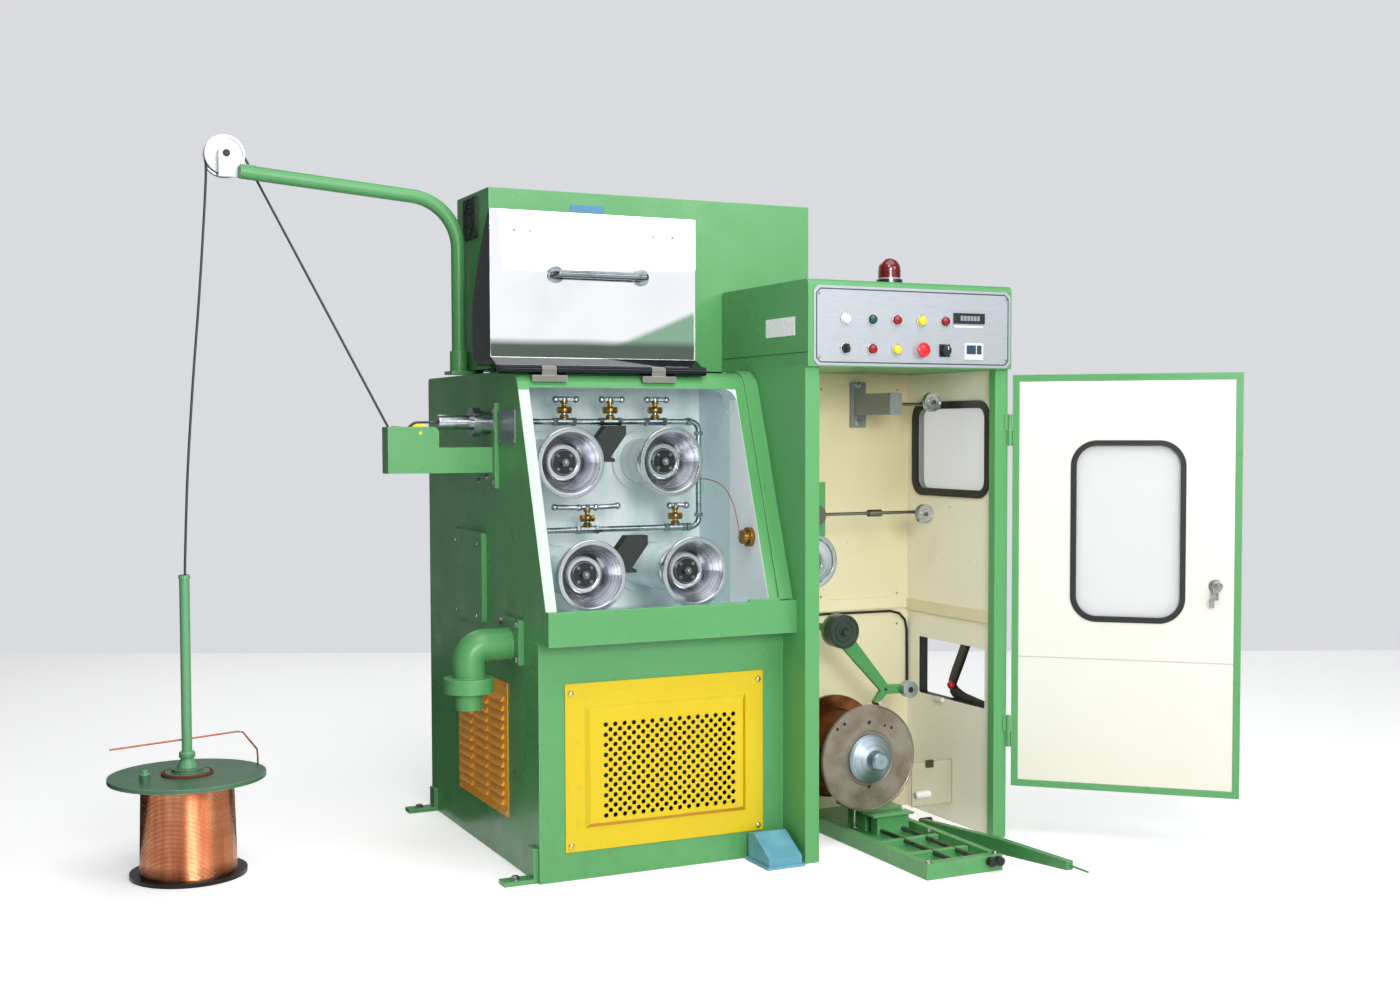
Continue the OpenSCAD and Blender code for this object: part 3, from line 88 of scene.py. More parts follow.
def empty_material(name):
    """A material with only its output node; returns the material, its tree and the output."""
    mat = bpy.data.materials.new(name)
    mat.use_nodes = True
    mat.node_tree.nodes.clear()
    return mat, mat.node_tree, add(mat.node_tree, "ShaderNodeOutputMaterial")


def mesh_object(name, points, faces, mat, angle=35):
    """A mesh from points in metres; edges sharper than the angle stay crisp."""
    mesh = bpy.data.meshes.new(name)
    mesh.from_pydata([tuple(map(float, p)) for p in points], [], faces)
    mesh.polygons.foreach_set("use_smooth", [True] * len(mesh.polygons))
    mesh.set_sharp_from_angle(angle=math.radians(angle))
    mesh.materials.append(mat)
    obj = bpy.data.objects.new(name, mesh)
    bpy.context.collection.objects.link(obj)
    return obj


def by_ray(tree, rays, rest, seen):
    """One shader for the given kinds of ray and another for the rest."""
    kinds = add(tree, "ShaderNodeLightPath").outputs
    share = 0.0
    for ray in rays:
        share = add(tree, "ShaderNodeMath", {0: kinds[ray], 1: share},
                    operation="MAXIMUM").outputs[0]
    return add(tree, "ShaderNodeMixShader", {"Fac": share, 1: rest, 2: seen}).outputs[0]


EYE = Vector((-1.8687, -4.6402, 1.2319))
TILT, ROLL, HEADING = 87.5403, 0.1469, 25.6209
TURN = math.radians(HEADING)
AWAY = Vector((math.sin(TURN), math.cos(TURN), 0))
ACROSS = Vector((math.cos(TURN), -math.sin(TURN), 0))
CAMERA, MIRRORED = "Is Camera Ray", "Is Glossy Ray"
WALL_GREY = "dadbdf"

floor_mat, tree, out = empty_material("studio floor, white")
diffuse = add(tree, "ShaderNodeBsdfDiffuse", {"Color": linear("e6e6e6")}).outputs[0]
lift = add(tree, "ShaderNodeEmission", {"Color": linear("ffffff"), "Strength": 0.45})
both = add(tree, "ShaderNodeAddShader", {0: diffuse, 1: lift.outputs[0]}).outputs[0]
tree.links.new(by_ray(tree, [CAMERA, MIRRORED], diffuse, both), out.inputs[0])

wall_mat, tree, out = empty_material("studio wall, pale grey")
diffuse = add(tree, "ShaderNodeBsdfDiffuse", {"Color": linear("c8c9cc")}).outputs[0]
flat = add(tree, "ShaderNodeEmission", {"Color": linear(WALL_GREY), "Strength": 1.0}).outputs[0]
tree.links.new(by_ray(tree, [CAMERA], diffuse, flat), out.inputs[0])

WALL_AWAY, HALF, DEEP, WALL_TOP = 9.0, 14, 22, 9
far = Vector((EYE.x, EYE.y, 0)) + AWAY * WALL_AWAY
floor_z = size["loaded"][0][2] - 0.0004
corners = [far + ACROSS * s - AWAY * d for s, d in ((-HALF, 0), (HALF, 0), (HALF, DEEP),
                                                    (-HALF, DEEP))]
floor = mesh_object("studio_floor", [(p.x, p.y, floor_z) for p in corners], [(3, 2, 1, 0)],
                    floor_mat)
wall = mesh_object("studio_wall", [(*(far + ACROSS * s).xy, z) for s, z in
                                   ((-HALF, -0.1), (HALF, -0.1), (HALF, WALL_TOP),
                                    (-HALF, WALL_TOP))], [(0, 1, 2, 3)], wall_mat)
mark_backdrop(floor, wall)


# White screen: a tall lit cloth in front of the machine, behind the camera. It fills the fronts
# with soft light and is what the polished lid mirrors. A green triangle and a dark stripe on it are
# painted reflections of the control box's side and its dark base, and grey patches paint shade into
# them.
def place(tree):
    """Object coordinates, which are those of the shared frame for every piece at rest."""
    return add(tree, "ShaderNodeTexCoord").outputs["Object"]


def axes_of(tree, where):
    """The X, Y and Z outputs of a vector."""
    return add(tree, "ShaderNodeSeparateXYZ", {0: where}).outputs


def math_node(tree, operation, a, b=0.0, clamp=False):
    """One math node on two sockets or values."""
    return add(tree, "ShaderNodeMath", {0: a, 1: b}, operation=operation,
               use_clamp=clamp).outputs[0]


def vector_node(tree, operation, a, b=None):
    """One vector math node; gives the vector, or the number of a product or length."""
    inputs = {0: a} if b is None else {0: a, 1: b}
    outputs = add(tree, "ShaderNodeVectorMath", inputs, operation=operation).outputs
    return outputs["Value" if operation in ("DOT_PRODUCT", "LENGTH") else 0]


def noise(tree, where, scale, detail=2.0, stretch=None):
    """Noise from 0 to 1 with that many waves in a metre, stretched along an axis if asked."""
    if stretch:
        where = vector_node(tree, "MULTIPLY", where, stretch)
    return add(tree, "ShaderNodeTexNoise", {"Vector": where, "Scale": scale,
                                            "Detail": detail}).outputs["Fac"]


def span(tree, value, low, high, to_low=0.0, to_high=1.0):
    """The value's range low..high carried over to another range, held at its ends."""
    return add(tree, "ShaderNodeMapRange", {"Value": value, "From Min": low, "From Max": high,
                                            "To Min": to_low, "To Max": to_high},
               clamp=True).outputs[0]


def blend(tree, factor, a, b):
    """Colour mix of a and b, given as hex codes or sockets."""
    a = linear(a) if isinstance(a, str) else a
    b = linear(b) if isinstance(b, str) else b
    return add(tree, "ShaderNodeMix", {0: factor, 6: a, 7: b}, data_type="RGBA").outputs[2]


screen_mat, tree, out = empty_material("studio screen, lit white cloth")
where = place(tree)
axes = axes_of(tree, where)
# Painted reflections for the lid: a green triangle for the control box's side, a dark stripe for its
# base, over patches of painted grey shade.
slope = math_node(tree, "ADD", math_node(tree, "MULTIPLY", axes["X"], 0.42), 0.5)
painted_box_reflection = math_node(tree, "MULTIPLY",
                  span(tree, math_node(tree, "SUBTRACT", slope, axes["Z"]), -0.02, 0.03),
                  span(tree, axes["X"], 3.28, 3.31))
painted_strip_reflection = math_node(tree, "MULTIPLY", span(tree, axes["Z"], 1.99, 1.93),
                 span(tree, axes["Z"], 1.45, 1.55))
shade = span(tree, noise(tree, where, 1.3, 3.0), 0.55, 0.8, 0.0, 0.35)
tone = blend(tree, painted_box_reflection, blend(tree, shade, "fbfcff", "c9c6c8"), "8fb39a")
tone = blend(tree, painted_strip_reflection, tone, "5d6a62")
glow = add(tree, "ShaderNodeEmission", {"Color": tone, "Strength": 1.08}).outputs[0]
clear = add(tree, "ShaderNodeBsdfTransparent").outputs[0]
tree.links.new(by_ray(tree, [CAMERA], glow, clear), out.inputs[0])
LEFT, RIGHT, LOW, HIGH, AHEAD = -3.2, 9.5, 0.05, 5.0, -8.6
screen = mesh_object("studio_screen", [(LEFT, AHEAD, LOW), (RIGHT, AHEAD, LOW),
                                       (RIGHT, AHEAD, HIGH), (LEFT, AHEAD, HIGH)],
                     [(3, 2, 1, 0)], screen_mat)
screen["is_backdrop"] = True


# Dark flags: black cloths to the left, one upright and one on the floor behind the supply spool.
# The left side mirrors them instead of the white floor, so that the green there stays deep. The
# camera looks through both, and the one on the floor is there for mirrored rays alone.
def flag_cloth(name, rays):
    """Black cloth that the given kinds of ray pass through."""
    mat, tree, out = empty_material(name)
    cloth = add(tree, "ShaderNodeBsdfDiffuse", {"Color": linear("181a1a")}).outputs[0]
    clear = add(tree, "ShaderNodeBsdfTransparent").outputs[0]
    tree.links.new(by_ray(tree, rays, cloth, clear), out.inputs[0])
    return mat


flag = mesh_object("studio_flag", [(-2.9, -0.6, 0.1), (-2.9, 5.5, 0.1), (-2.9, 5.5, 3.4),
                                   (-2.9, -0.6, 3.4)], [(0, 1, 2, 3)],
                   flag_cloth("studio flag, black cloth", [CAMERA]))
low_flag = mesh_object("studio_low_flag", [(-2.9, 0.25, 0.002), (-0.4, 0.25, 0.002),
                                           (-0.4, 4.5, 0.002), (-2.9, 4.5, 0.002)],
                       [(0, 1, 2, 3)],
                       flag_cloth("studio floor flag, black cloth",
                                  [CAMERA, "Is Shadow Ray", "Is Diffuse Ray"]))
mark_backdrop(flag, low_flag)


# Lamps: a soft lamp just right of the camera, which reaches into the open chambers and leaves the
# left side in shade, one high on the right, one overhead, a small one above the front that lights
# the faces right of the chamber, and one behind for the views from the back.
def soft_lamp(name, place, aim, wide, high, watts, colour="ffffff"):
    """A rectangular area lamp that faces the aim point."""
    data = bpy.data.lights.new(name, "AREA")
    data.shape, data.size, data.size_y = "RECTANGLE", wide, high
    data.energy, data.color = watts, linear(colour)[:3]
    obj = bpy.data.objects.new(name, data)
    obj.location = place
    obj.rotation_euler = (Vector(aim) - Vector(place)).to_track_quat("-Z", "Y").to_euler()
    bpy.context.collection.objects.link(obj)
    return obj


soft_lamp("front_lamp", (-0.9, -5.6, 2.1), (0.1, 0.0, 0.8), 1.8, 1.4, 140)
soft_lamp("right_lamp", (2.6, -5.2, 3.2), (0.2, 0.0, 0.8), 2.6, 2.0, 62)
soft_lamp("top_lamp", (0.2, -1.6, 5.0), (0.0, -0.3, 0.0), 4.5, 3.5, 105)
soft_lamp("upper_lamp", (-0.35, -1.9, 2.75), (0.6, -0.1, 1.1), 0.9, 0.7, 13)
soft_lamp("back_lamp", (0.2, 3.4, 4.0), (0.1, 0.4, 0.8), 3.0, 2.0, 40)

world = bpy.data.worlds.new("studio light")
bpy.context.scene.world = world
world.use_nodes = True
tree = world.node_tree
tree.nodes.clear()
sky = add(tree, "ShaderNodeBackground", {"Color": linear("f4f6fa"), "Strength": 0.21}).outputs[0]
backdrop = add(tree, "ShaderNodeBackground", {"Color": linear(WALL_GREY)}).outputs[0]
add(tree, "ShaderNodeOutputWorld", {"Surface": by_ray(tree, [CAMERA], sky, backdrop)})

# Camera: the place, lens and turn that the photo was taken with.
lens = bpy.data.cameras.new("photo_camera")
lens.sensor_width, lens.lens, lens.clip_end = 36, 41.84, 60
camera = bpy.data.objects.new("photo_camera", lens)
camera.location = EYE
camera.rotation_euler = [math.radians(a) for a in (TILT, ROLL, -HEADING)]
bpy.context.collection.objects.link(camera)
bpy.context.scene.camera = camera
bpy.context.scene.view_settings.view_transform = "Standard"


# Green enamel: the sheet-steel housings, tray, brackets and arms, sprayed in one semi-gloss
# mid green. The coat is a little uneven, a painted highlight lightens its folded edges, and it is
# greyer near the floor. The chamber's inner faces and the cut front edge of its left wall are painted
# white.
FOOT = Vector((0.375, 0.5125, 0.0))
GREEN = "5aa262"
WHITE = "d3e6e9"
# Sprayed paint has a fine skin: its waves in a metre, and their depth in metres.
SKIN, SKIN_DEPTH = 420, 0.00003


def at(x, y, z):
    """Millimetres from the machine's left front foot corner to metres in the shared frame."""
    return Vector((x, y, z)) / 1000 - FOOT


def inside(tree, where, low, high):
    """1 inside the box between two points in millimetres, 0 outside; None leaves a side open."""
    axes = axes_of(tree, where)
    result = 1.0
    for i in range(3):
        for edge, test in ((low[i], "GREATER_THAN"), (high[i], "LESS_THAN")):
            if edge is not None:
                value = edge / 1000 - FOOT[i]
                result = math_node(tree, "MULTIPLY", result,
                                   math_node(tree, test, axes[i], value))
    return result


def bump(tree, height, depth, edge=0.0):
    """Surface tilt from a height pattern, depth in metres, over edges rounded to a radius."""
    links = {"Height": height, "Distance": depth, "Strength": 1.0}
    if edge:
        links["Normal"] = add(tree, "ShaderNodeBevel", {"Radius": edge}, samples=4).outputs[0]
    return add(tree, "ShaderNodeBump", links).outputs[0]


def principled(tree, out, inputs):
    """The principled surface of a material."""
    node = add(tree, "ShaderNodeBsdfPrincipled", inputs)
    tree.links.new(node.outputs[0], out.inputs[0])


def enamel(name, colour, zones=(), rough=0.3, grime=0.2):
    """Sprayed enamel on sheet steel, with other colours in the zones (low, high, hex code)."""
    mat, tree, out = empty_material(name)
    where = place(tree)
    patch = noise(tree, where, 1.7, 3.0)
    base = blend(tree, span(tree, patch, 0.3, 0.7, 0.10, 0.0), colour, "000000")
    for low, high, code in zones:
        base = blend(tree, inside(tree, where, low, high), base, code)
    low_dirt = span(tree, axes_of(tree, where)["Z"], 0.0, 0.35, grime, 0.02)
    spots = span(tree, noise(tree, where, 23, 5.0), 0.52, 0.74)
    base = blend(tree, math_node(tree, "MULTIPLY", low_dirt, spots), base, "4b4f3a")
    rounded = add(tree, "ShaderNodeBevel", {"Radius": 0.004}, samples=4).outputs[0]
    turn = vector_node(tree, "DOT_PRODUCT", rounded,
                       add(tree, "ShaderNodeNewGeometry").outputs["Normal"])
    # Painted highlight: the folded edges turn a lighter green where the rounded normal leaves the
    # true one.
    painted_edge_highlight = math_node(tree, "MULTIPLY", span(tree, turn, 0.99, 0.88, 0.0, 0.55),
                       span(tree, noise(tree, where, 15, 3.0), 0.3, 0.6, 0.3, 1.0))
    base = blend(tree, painted_edge_highlight, base, "a4d3a8")
    gloss = span(tree, noise(tree, where, 9, 4.0), 0.3, 0.7, rough - 0.05, rough + 0.1)
    principled(tree, out, {
        "Base Color": base, "Roughness": gloss, "IOR": 1.5,
        "Normal": bump(tree, noise(tree, where, SKIN, 1.0), SKIN_DEPTH, 0.0025)})
    return mat


def finish(name, mat):
    """Gives a CAD node one finish in every slot."""
    mesh = cad[name].data
    if not mesh.materials:
        mesh.materials.append(mat)
    for i in range(len(mesh.materials)):
        mesh.materials[i] = mat


green = enamel("green enamel on sheet steel", GREEN)
for name in ("rear_housing", "coolant_elbow", "electric_cabinet", "loading_platform",
             "entry_bracket"):
    finish(name, green)
# The vent hollows behind the panels are painted near-black: painted shade for the dark inside.
finish("lower_cabinet", enamel("green enamel, painted shade in vent hollows", GREEN, [
    ((104, 1, 107), (654, 80, 513), "0d130e"), ((1, 282, 158), (80, 687, 487), "0d130e")]))
finish("coolant_tray", enamel("green enamel, white tray floor", GREEN, [
    ((32, -59, 699), (672, 393, 701), WHITE), ((30, -61, 701), (674, -59, 747), WHITE)]))
finish("hood_shell", enamel("green enamel, white chamber walls", GREEN, [
    ((31, None, 699), (673, None, 1351), WHITE),
    ((671, None, 699), (673, None, 1351), "f2f8f9"), ((0.5, -70, 740), (31.5, 150, 1345), "c6d6c9"),
    ((31, 185, None), (673, None, 1391), WHITE)]))
finish("side_cover_plates", enamel("green enamel, bare grey plate", GREEN, [
    ((-5, 168, 1196), (-0.5, 305, 1292), "6b7880")]))

# White paint in the chamber: the bulkhead and the four cone housings, glossy under a film of
# drawing oil. It darkens to blue-green in streaks that run downwards, partly oil drips and partly
# painted shade for the darker back of the chamber.
mat, tree, out = empty_material("white gloss paint under oil")
where = place(tree)
# Partly painted shade: the blue-green streaks stand for oil drips and also darken the chamber like
# shade.
drips_and_painted_shade = noise(tree, where, 14, 4.0, (1.0, 1.0, 0.22))
base = blend(tree, span(tree, drips_and_painted_shade, 0.42, 0.72, 0.0, 0.55), "e4eeee", "a9c6c9")
principled(tree, out, {
    "Base Color": base, "Roughness": span(tree, drips_and_painted_shade, 0.3, 0.7, 0.3, 0.12), "IOR": 1.5,
    "Normal": bump(tree, noise(tree, where, 60, 2.0), 0.0004, 0.002)})
finish("bulkhead", mat)
finish("cone_housings", mat)


# Bare metals: turned and polished steel, drawn copper, brass and black iron.
def metal(name, colour, rough, stretch=None, scale=300, depth=0.00004, dark=0.15,
          edge=0.0008, worn="20242a"):
    """Bare metal with fine tool marks along the axis of the least stretch and a few dull spots."""
    mat, tree, out = empty_material(name)
    where = place(tree)
    lines = noise(tree, where, scale, 2.0, stretch)
    spots = span(tree, noise(tree, where, 31, 4.0), 0.45, 0.75, 0.0, dark)
    base = blend(tree, spots, colour, worn)
    principled(tree, out, {
        "Base Color": base, "Metallic": 1.0,
        "Roughness": span(tree, lines, 0.3, 0.7, rough * 0.8, rough * 1.3),
        "Normal": bump(tree, lines, depth, edge)})
    return mat


def dull(name, colour, rough, scale=80, depth=0.0002, second=None, edge=0.001):
    """Plastic, rubber or rough paint with a fine moulded grain."""
    mat, tree, out = empty_material(name)
    where = place(tree)
    grain = noise(tree, where, scale, 3.0)
    base = blend(tree, span(tree, noise(tree, where, 12, 4.0), 0.4, 0.7), colour,
                 second or colour)
    principled(tree, out, {
        "Base Color": base, "Roughness": span(tree, grain, 0.3, 0.7, rough * 0.85, rough),
        "IOR": 1.5, "Normal": bump(tree, grain, depth, edge)})
    return mat


# Screws, bolts and rivets: bright zinc-plated heads, domed on sheet panels and hexagonal with a
# washer on brackets, flanges and feet. One head has a few dozen faces.
def turned(profile, centre, axis=(0, 1, 0), count=20):
    """A profile of (radius, height) in millimetres turned round an axis: each point is centre +
    height * axis + radius * (cos t * side + sin t * up), with a flat face at both ends."""
    axis = np.array(axis, float)
    axis /= np.linalg.norm(axis)
    side = np.cross(axis, (0.0, 0.0, 1.0) if abs(axis[2]) < 0.9 else (1.0, 0.0, 0.0))
    side /= np.linalg.norm(side)
    up = np.cross(axis, side)
    turn = np.arange(count) * 2 * np.pi / count
    circle = np.outer(np.cos(turn), side) + np.outer(np.sin(turn), up)
    rows = [np.array(centre, float) + h * axis + r * circle for r, h in profile]
    faces = [(i * count + k, i * count + (k + 1) % count, (i + 1) * count + (k + 1) % count,
              (i + 1) * count + k) for i in range(len(profile) - 1) for k in range(count)]
    faces += [tuple(range(count))[::-1], tuple((len(profile) - 1) * count + k
                                               for k in range(count))]
    return np.concatenate(rows), faces


def fitting(name, parts, mat, body="machine", angle=35):
    """One new piece made of several closed shapes in millimetres, riding on a CAD body."""
    points, faces, start = [], [], 0
    for p, f in parts:
        points.append(p)
        faces += [tuple(i + start for i in face) for face in f]
        start += len(p)
    points = np.concatenate(points) / 1000 - np.array(FOOT)
    obj = mesh_object(name, points, faces, mat, angle)
    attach(obj, body)
    return obj


def dome_screw(x, y, z, axis, r=7.0):
    """A domed screw head with a drive hole in the middle."""
    return turned([(r, 0), (r, 0.12 * r), (0.9 * r, 0.32 * r), (0.6 * r, 0.52 * r),
                   (0.32 * r, 0.58 * r), (0.26 * r, 0.25 * r), (0.05 * r, 0.22 * r)],
                  (x, y, z), axis, 14)


def hex_bolt(x, y, z, axis, r=9.0):
    """A hexagon head on its washer; returns both shapes."""
    washer = turned([(1.35 * r, 0), (1.35 * r, 0.16 * r), (1.2 * r, 0.22 * r)], (x, y, z), axis, 20)
    head = turned([(r, 0.2 * r), (r, 0.8 * r), (0.82 * r, 0.92 * r)], (x, y, z), axis, 6)
    return [washer, head]


plated = metal("zinc-plated steel screws", "a3a7a6", 0.28, dark=0.4, worn="54504a")
OUT, FRONT, UP = (-1, 0, 0), (0, -1, 0), (0, 0, 1)
screws = [dome_screw(x, -3, z, FRONT, 9) for x, z in ((92, 514), (667, 516), (92, 95), (667, 93))]
fitting("vent_panel_screws", screws, metal("brass-plated screws", "d8c489", 0.25, dark=0.2))
screws = [dome_screw(-3, y, z, OUT, 6) for y in (266, 702) for z in (143, 502)]
fitting("louvre_panel_screws", screws, plated)
screws = [dome_screw(-15, y, z, OUT, 8) for y, z in ((490, 897), (700, 897), (496, 683),
                                                      (696, 684))]
screws += [dome_screw(-4, y, z, OUT, 4) for y in (177, 296) for z in (1205, 1283)]
fitting("side_plate_screws", screws, plated)
bolts = [b for y in (133, 267) for z in (597, 695) for b in hex_bolt(-15, y, z, OUT, 9)]
bolts += [b for y, z in ((330, 1291), (466, 1291), (330, 1085), (466, 1085), (392, 1098))
          for b in hex_bolt(-12, y, z, OUT, 8)]
bolts += [b for x in (-56, 1112) for y in (39, 985) for b in hex_bolt(x, y, 12, UP, 11)
          if x < 0 or y > 500]
bolts += [b for z in (1255, 1372) for b in hex_bolt(1217, 351, z, FRONT, 9)]
bolts += [b for x in (978, 1200) for b in hex_bolt(x, -415, 45, UP, 8)]
bolts += hex_bolt(1287, 40, 20, (1, 0, 0), 9)
fitting("bracket_bolts", bolts, plated)


# Pipework: galvanised pipe with screwed joints, held in front of the bulkhead and darkened by
# drawing oil. A hexagon union stands on each side of every tee and bend.
def swept(path, radius, count=8, flat=1.0):
    """A bar along a path in millimetres: each path point + radius * (cos t * side + flat * sin t
    * up), where side and up are square to the path and carried along it without twist."""
    path = np.array(path, float)
    ahead = np.gradient(path, axis=0)
    ahead /= np.linalg.norm(ahead, axis=1)[:, None]
    side = np.cross(ahead[0], (0.1, 1.0, 0.05))
    turn = np.arange(count) * 2 * np.pi / count
    rows = []
    for spot, along in zip(path, ahead):
        side = side - along * (side @ along)
        side /= np.linalg.norm(side)
        up = np.cross(along, side)
        rows.append(spot + radius * (np.outer(np.cos(turn), side)
                                     + flat * np.outer(np.sin(turn), up)))
    faces = [(i * count + k, i * count + (k + 1) % count, (i + 1) * count + (k + 1) % count,
              (i + 1) * count + k) for i in range(len(path) - 1) for k in range(count)]
    faces += [tuple(range(count))[::-1], tuple((len(path) - 1) * count + k
                                               for k in range(count))]
    return np.concatenate(rows), faces


PIPE_Y, HIGH_PIPE, LOW_PIPE, TAPS, LOW_TEES, DOWN_X = 250, 1257, 945, (174, 316, 459), (243, 523), 600
zinc = metal("galvanised steel pipe, oily", "9aa6a8", 0.24, dark=0.5, worn="2c3c3e")
finish("spray_pipes", zinc)
NUT = [(12, -6), (13.5, -4.5), (13.5, 4.5), (12, 6)]
nuts = [turned(NUT, (x + s * 29, PIPE_Y, z), (1, 0, 0), 6) for z, row in
        ((HIGH_PIPE, TAPS), (LOW_PIPE, LOW_TEES)) for x in row for s in (-1, 1)]
nuts += [turned(NUT, (DOWN_X, PIPE_Y, z), UP, 6) for z in (HIGH_PIPE - 35, LOW_PIPE + 35)]
nuts += [turned(NUT, (DOWN_X - 35, PIPE_Y, z), (1, 0, 0), 6) for z in (HIGH_PIPE, LOW_PIPE)]
fitting("pipe_unions", nuts, zinc)

# Taps: brass valve bodies screwed into the tees, with chromed levers that end in round knobs.
brass = metal("brass, oily", "9c7a3c", 0.28, dark=0.5, worn="2e2413")
chrome = metal("chrome plate", "b4babe", 0.1, dark=0.35, worn="3c4346")


def ball(x, y, z, r, count=16):
    """A round knob: a half circle of radius r turned round the upright axis."""
    angle = np.linspace(0.04, math.pi - 0.04, 9)
    return turned(list(zip(r * np.sin(angle), -r * np.cos(angle))), (x, y, z), UP, count)


BODY = [(11.5, 9), (13, 12), (13, 17), (9, 20), (9, 25), (14, 28), (15, 33), (14, 38), (9, 41),
        (7, 45), (7, 51), (10.5, 53), (10.5, 59), (7, 61)]
CAP = [(8.5, 58), (10, 60), (10, 67), (6, 71), (0.5, 72)]
bodies, levers = [], []
for x, z, left, right in [(v, HIGH_PIPE, -26, 36) for v in TAPS] + [
        (LOW_TEES[1], LOW_PIPE, -18, 36), (LOW_TEES[0], LOW_PIPE, -26, 26)]:
    bodies += [turned(BODY, (x, PIPE_Y, z), UP, 20), turned(
        [(9, -21), (11, -19), (11, 19), (9, 21)], (x, PIPE_Y, z + 33), (1, 0, 0), 6)]
    levers += [turned(CAP, (x, PIPE_Y, z), UP, 18), ball(x + left, PIPE_Y, z + 64, 10.5),
               ball(x + right, PIPE_Y, z + 64, 10.5),
               swept([(x + left, PIPE_Y, z + 64), (x, PIPE_Y, z + 66),
                      (x + right, PIPE_Y, z + 64)], 7.5, 10, 0.8)]
for a, b in ((-26, -100), (26, 94)):
    levers += [swept([(LOW_TEES[0] + a, PIPE_Y, 1009), (LOW_TEES[0] + b, PIPE_Y, 1012)], 8, 12),
               ball(LOW_TEES[0] + b, PIPE_Y, 1012, 10.5)]
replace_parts(fitting("tap_bodies", bodies, brass), "pipe_taps")
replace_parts(fitting("tap_levers", levers, chrome), "pipe_taps")
finish("exit_die", brass)

# Drawn and supplied wire: the drawn wire is bare copper, the one that comes off the spool is
# coated in dark grey. Both run taut or in the slack that the photo shows.
copper = metal("drawn copper wire", "b4623f", 0.3, dark=0.1, worn="5a2a18")
finish("drawn_wire", copper)
finish("supply_wire", dull("dark grey coated wire", "3a4146", 0.45))

# Cones: steel lathe work, ground and polished, with turning rings round the axis. The hub disc
# in the hollow is black iron with four pale bolts, a bright ring and a hexagon nut.
AXES = {"cone_upper_left": (157, 1141), "cone_upper_right": (468, 1141),
        "cone_lower_left": (157, 833), "cone_lower_right": (468, 833)}


def from_axis(tree, where, x, z):
    """Distance in metres from the axis along Y through x, z in millimetres."""
    shift = vector_node(tree, "ADD", where, at(x, 0, z) * -1)
    return vector_node(tree, "LENGTH", vector_node(tree, "MULTIPLY", shift, (1, 0, 1)))


def turned_steel(name, x, z, disc=0.0, rough=0.2, colour="d6d8de", hub="17191d"):
    """Steel turned round an axis along Y through x, z, with a dark disc of a radius in mm."""
    mat, tree, out = empty_material(name)
    where = place(tree)
    radius = from_axis(tree, where, x, z)
    path = add(tree, "ShaderNodeCombineXYZ", {"X": radius,
                                              "Y": axes_of(tree, where)["Y"]}).outputs[0]
    rings = noise(tree, path, 900, 2.0)
    broad = span(tree, noise(tree, path, 110, 2.0), 0.4, 0.62, 0.0, 0.42)
    base = blend(tree, broad, colour, "777a83")
    base = blend(tree, span(tree, noise(tree, where, 25, 4.0), 0.5, 0.8, 0.0, 0.15), base,
                 "5c5b58")
    metallic = 1.0
    if disc:
        dark = math_node(tree, "LESS_THAN", radius, disc / 1000)
        base = blend(tree, dark, base, hub)
        metallic = math_node(tree, "SUBTRACT", 1.0, dark)
    principled(tree, out, {
        "Base Color": base, "Metallic": metallic,
        "Roughness": span(tree, rings, 0.3, 0.7, rough * 0.8, rough * 1.4),
        "Normal": bump(tree, rings, 0.000012, 0.0008)})
    return mat


def hoop(centre, radius, thick, axis=1, count=40):
    """A round wire ring: centre + radius * (cos t, sin t) in the plane square to an axis."""
    turn = np.linspace(0, 2 * np.pi, count + 1)
    path = np.tile(np.array(centre, float), (count + 1, 1))
    first, second = [(1, 2), (0, 2), (0, 1)][axis]
    path[:, first] += radius * np.cos(turn)
    path[:, second] += radius * np.sin(turn)
    return swept(path, thick, 8)


hub_steel = metal("oily hub steel", "7d8285", 0.3, dark=0.5, worn="2b2c2c")
for name, (x, z) in AXES.items():
    finish(name, turned_steel("polished turned steel, " + name.replace("_", " "), x, z, disc=39))
    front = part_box(name)[0].y * 1000 + 512.5
    hub = [hoop((x, front + 57.5, z), 35, 0.9),
           turned([(12, 0), (12, 7), (10, 9)], (x, front + 51, z), FRONT, 6),
           turned([(6.5, 7), (6.5, 15), (5, 16)], (x, front + 51, z), FRONT, 16)]
    hub += [turned([(5.5, -1), (5.5, 4), (4.5, 5)], (x + 27 * math.cos(a), front + 58,
                                                     z + 27 * math.sin(a)), FRONT, 6)
            for a in np.radians((45, 135, 225, 315))]
    fitting(name + "_hub", hub, hub_steel, name)
finish("die_holders", dull("black oiled iron", "0d1716", 0.62, second="16211f"))

# Lid: a mirror-polished stainless plate, hinged at the brow and thrown back, with folded rims
# and a chromed grab bar. Its rims and rolled hinge bar get a near-black base colour, a painted
# dark reflection, and its satin back stays pale. The hinge leaves below are browned steel.
mat, tree, out = empty_material("mirror-polished stainless sheet")
where = place(tree)
smear = noise(tree, where, 3.0, 3.0)
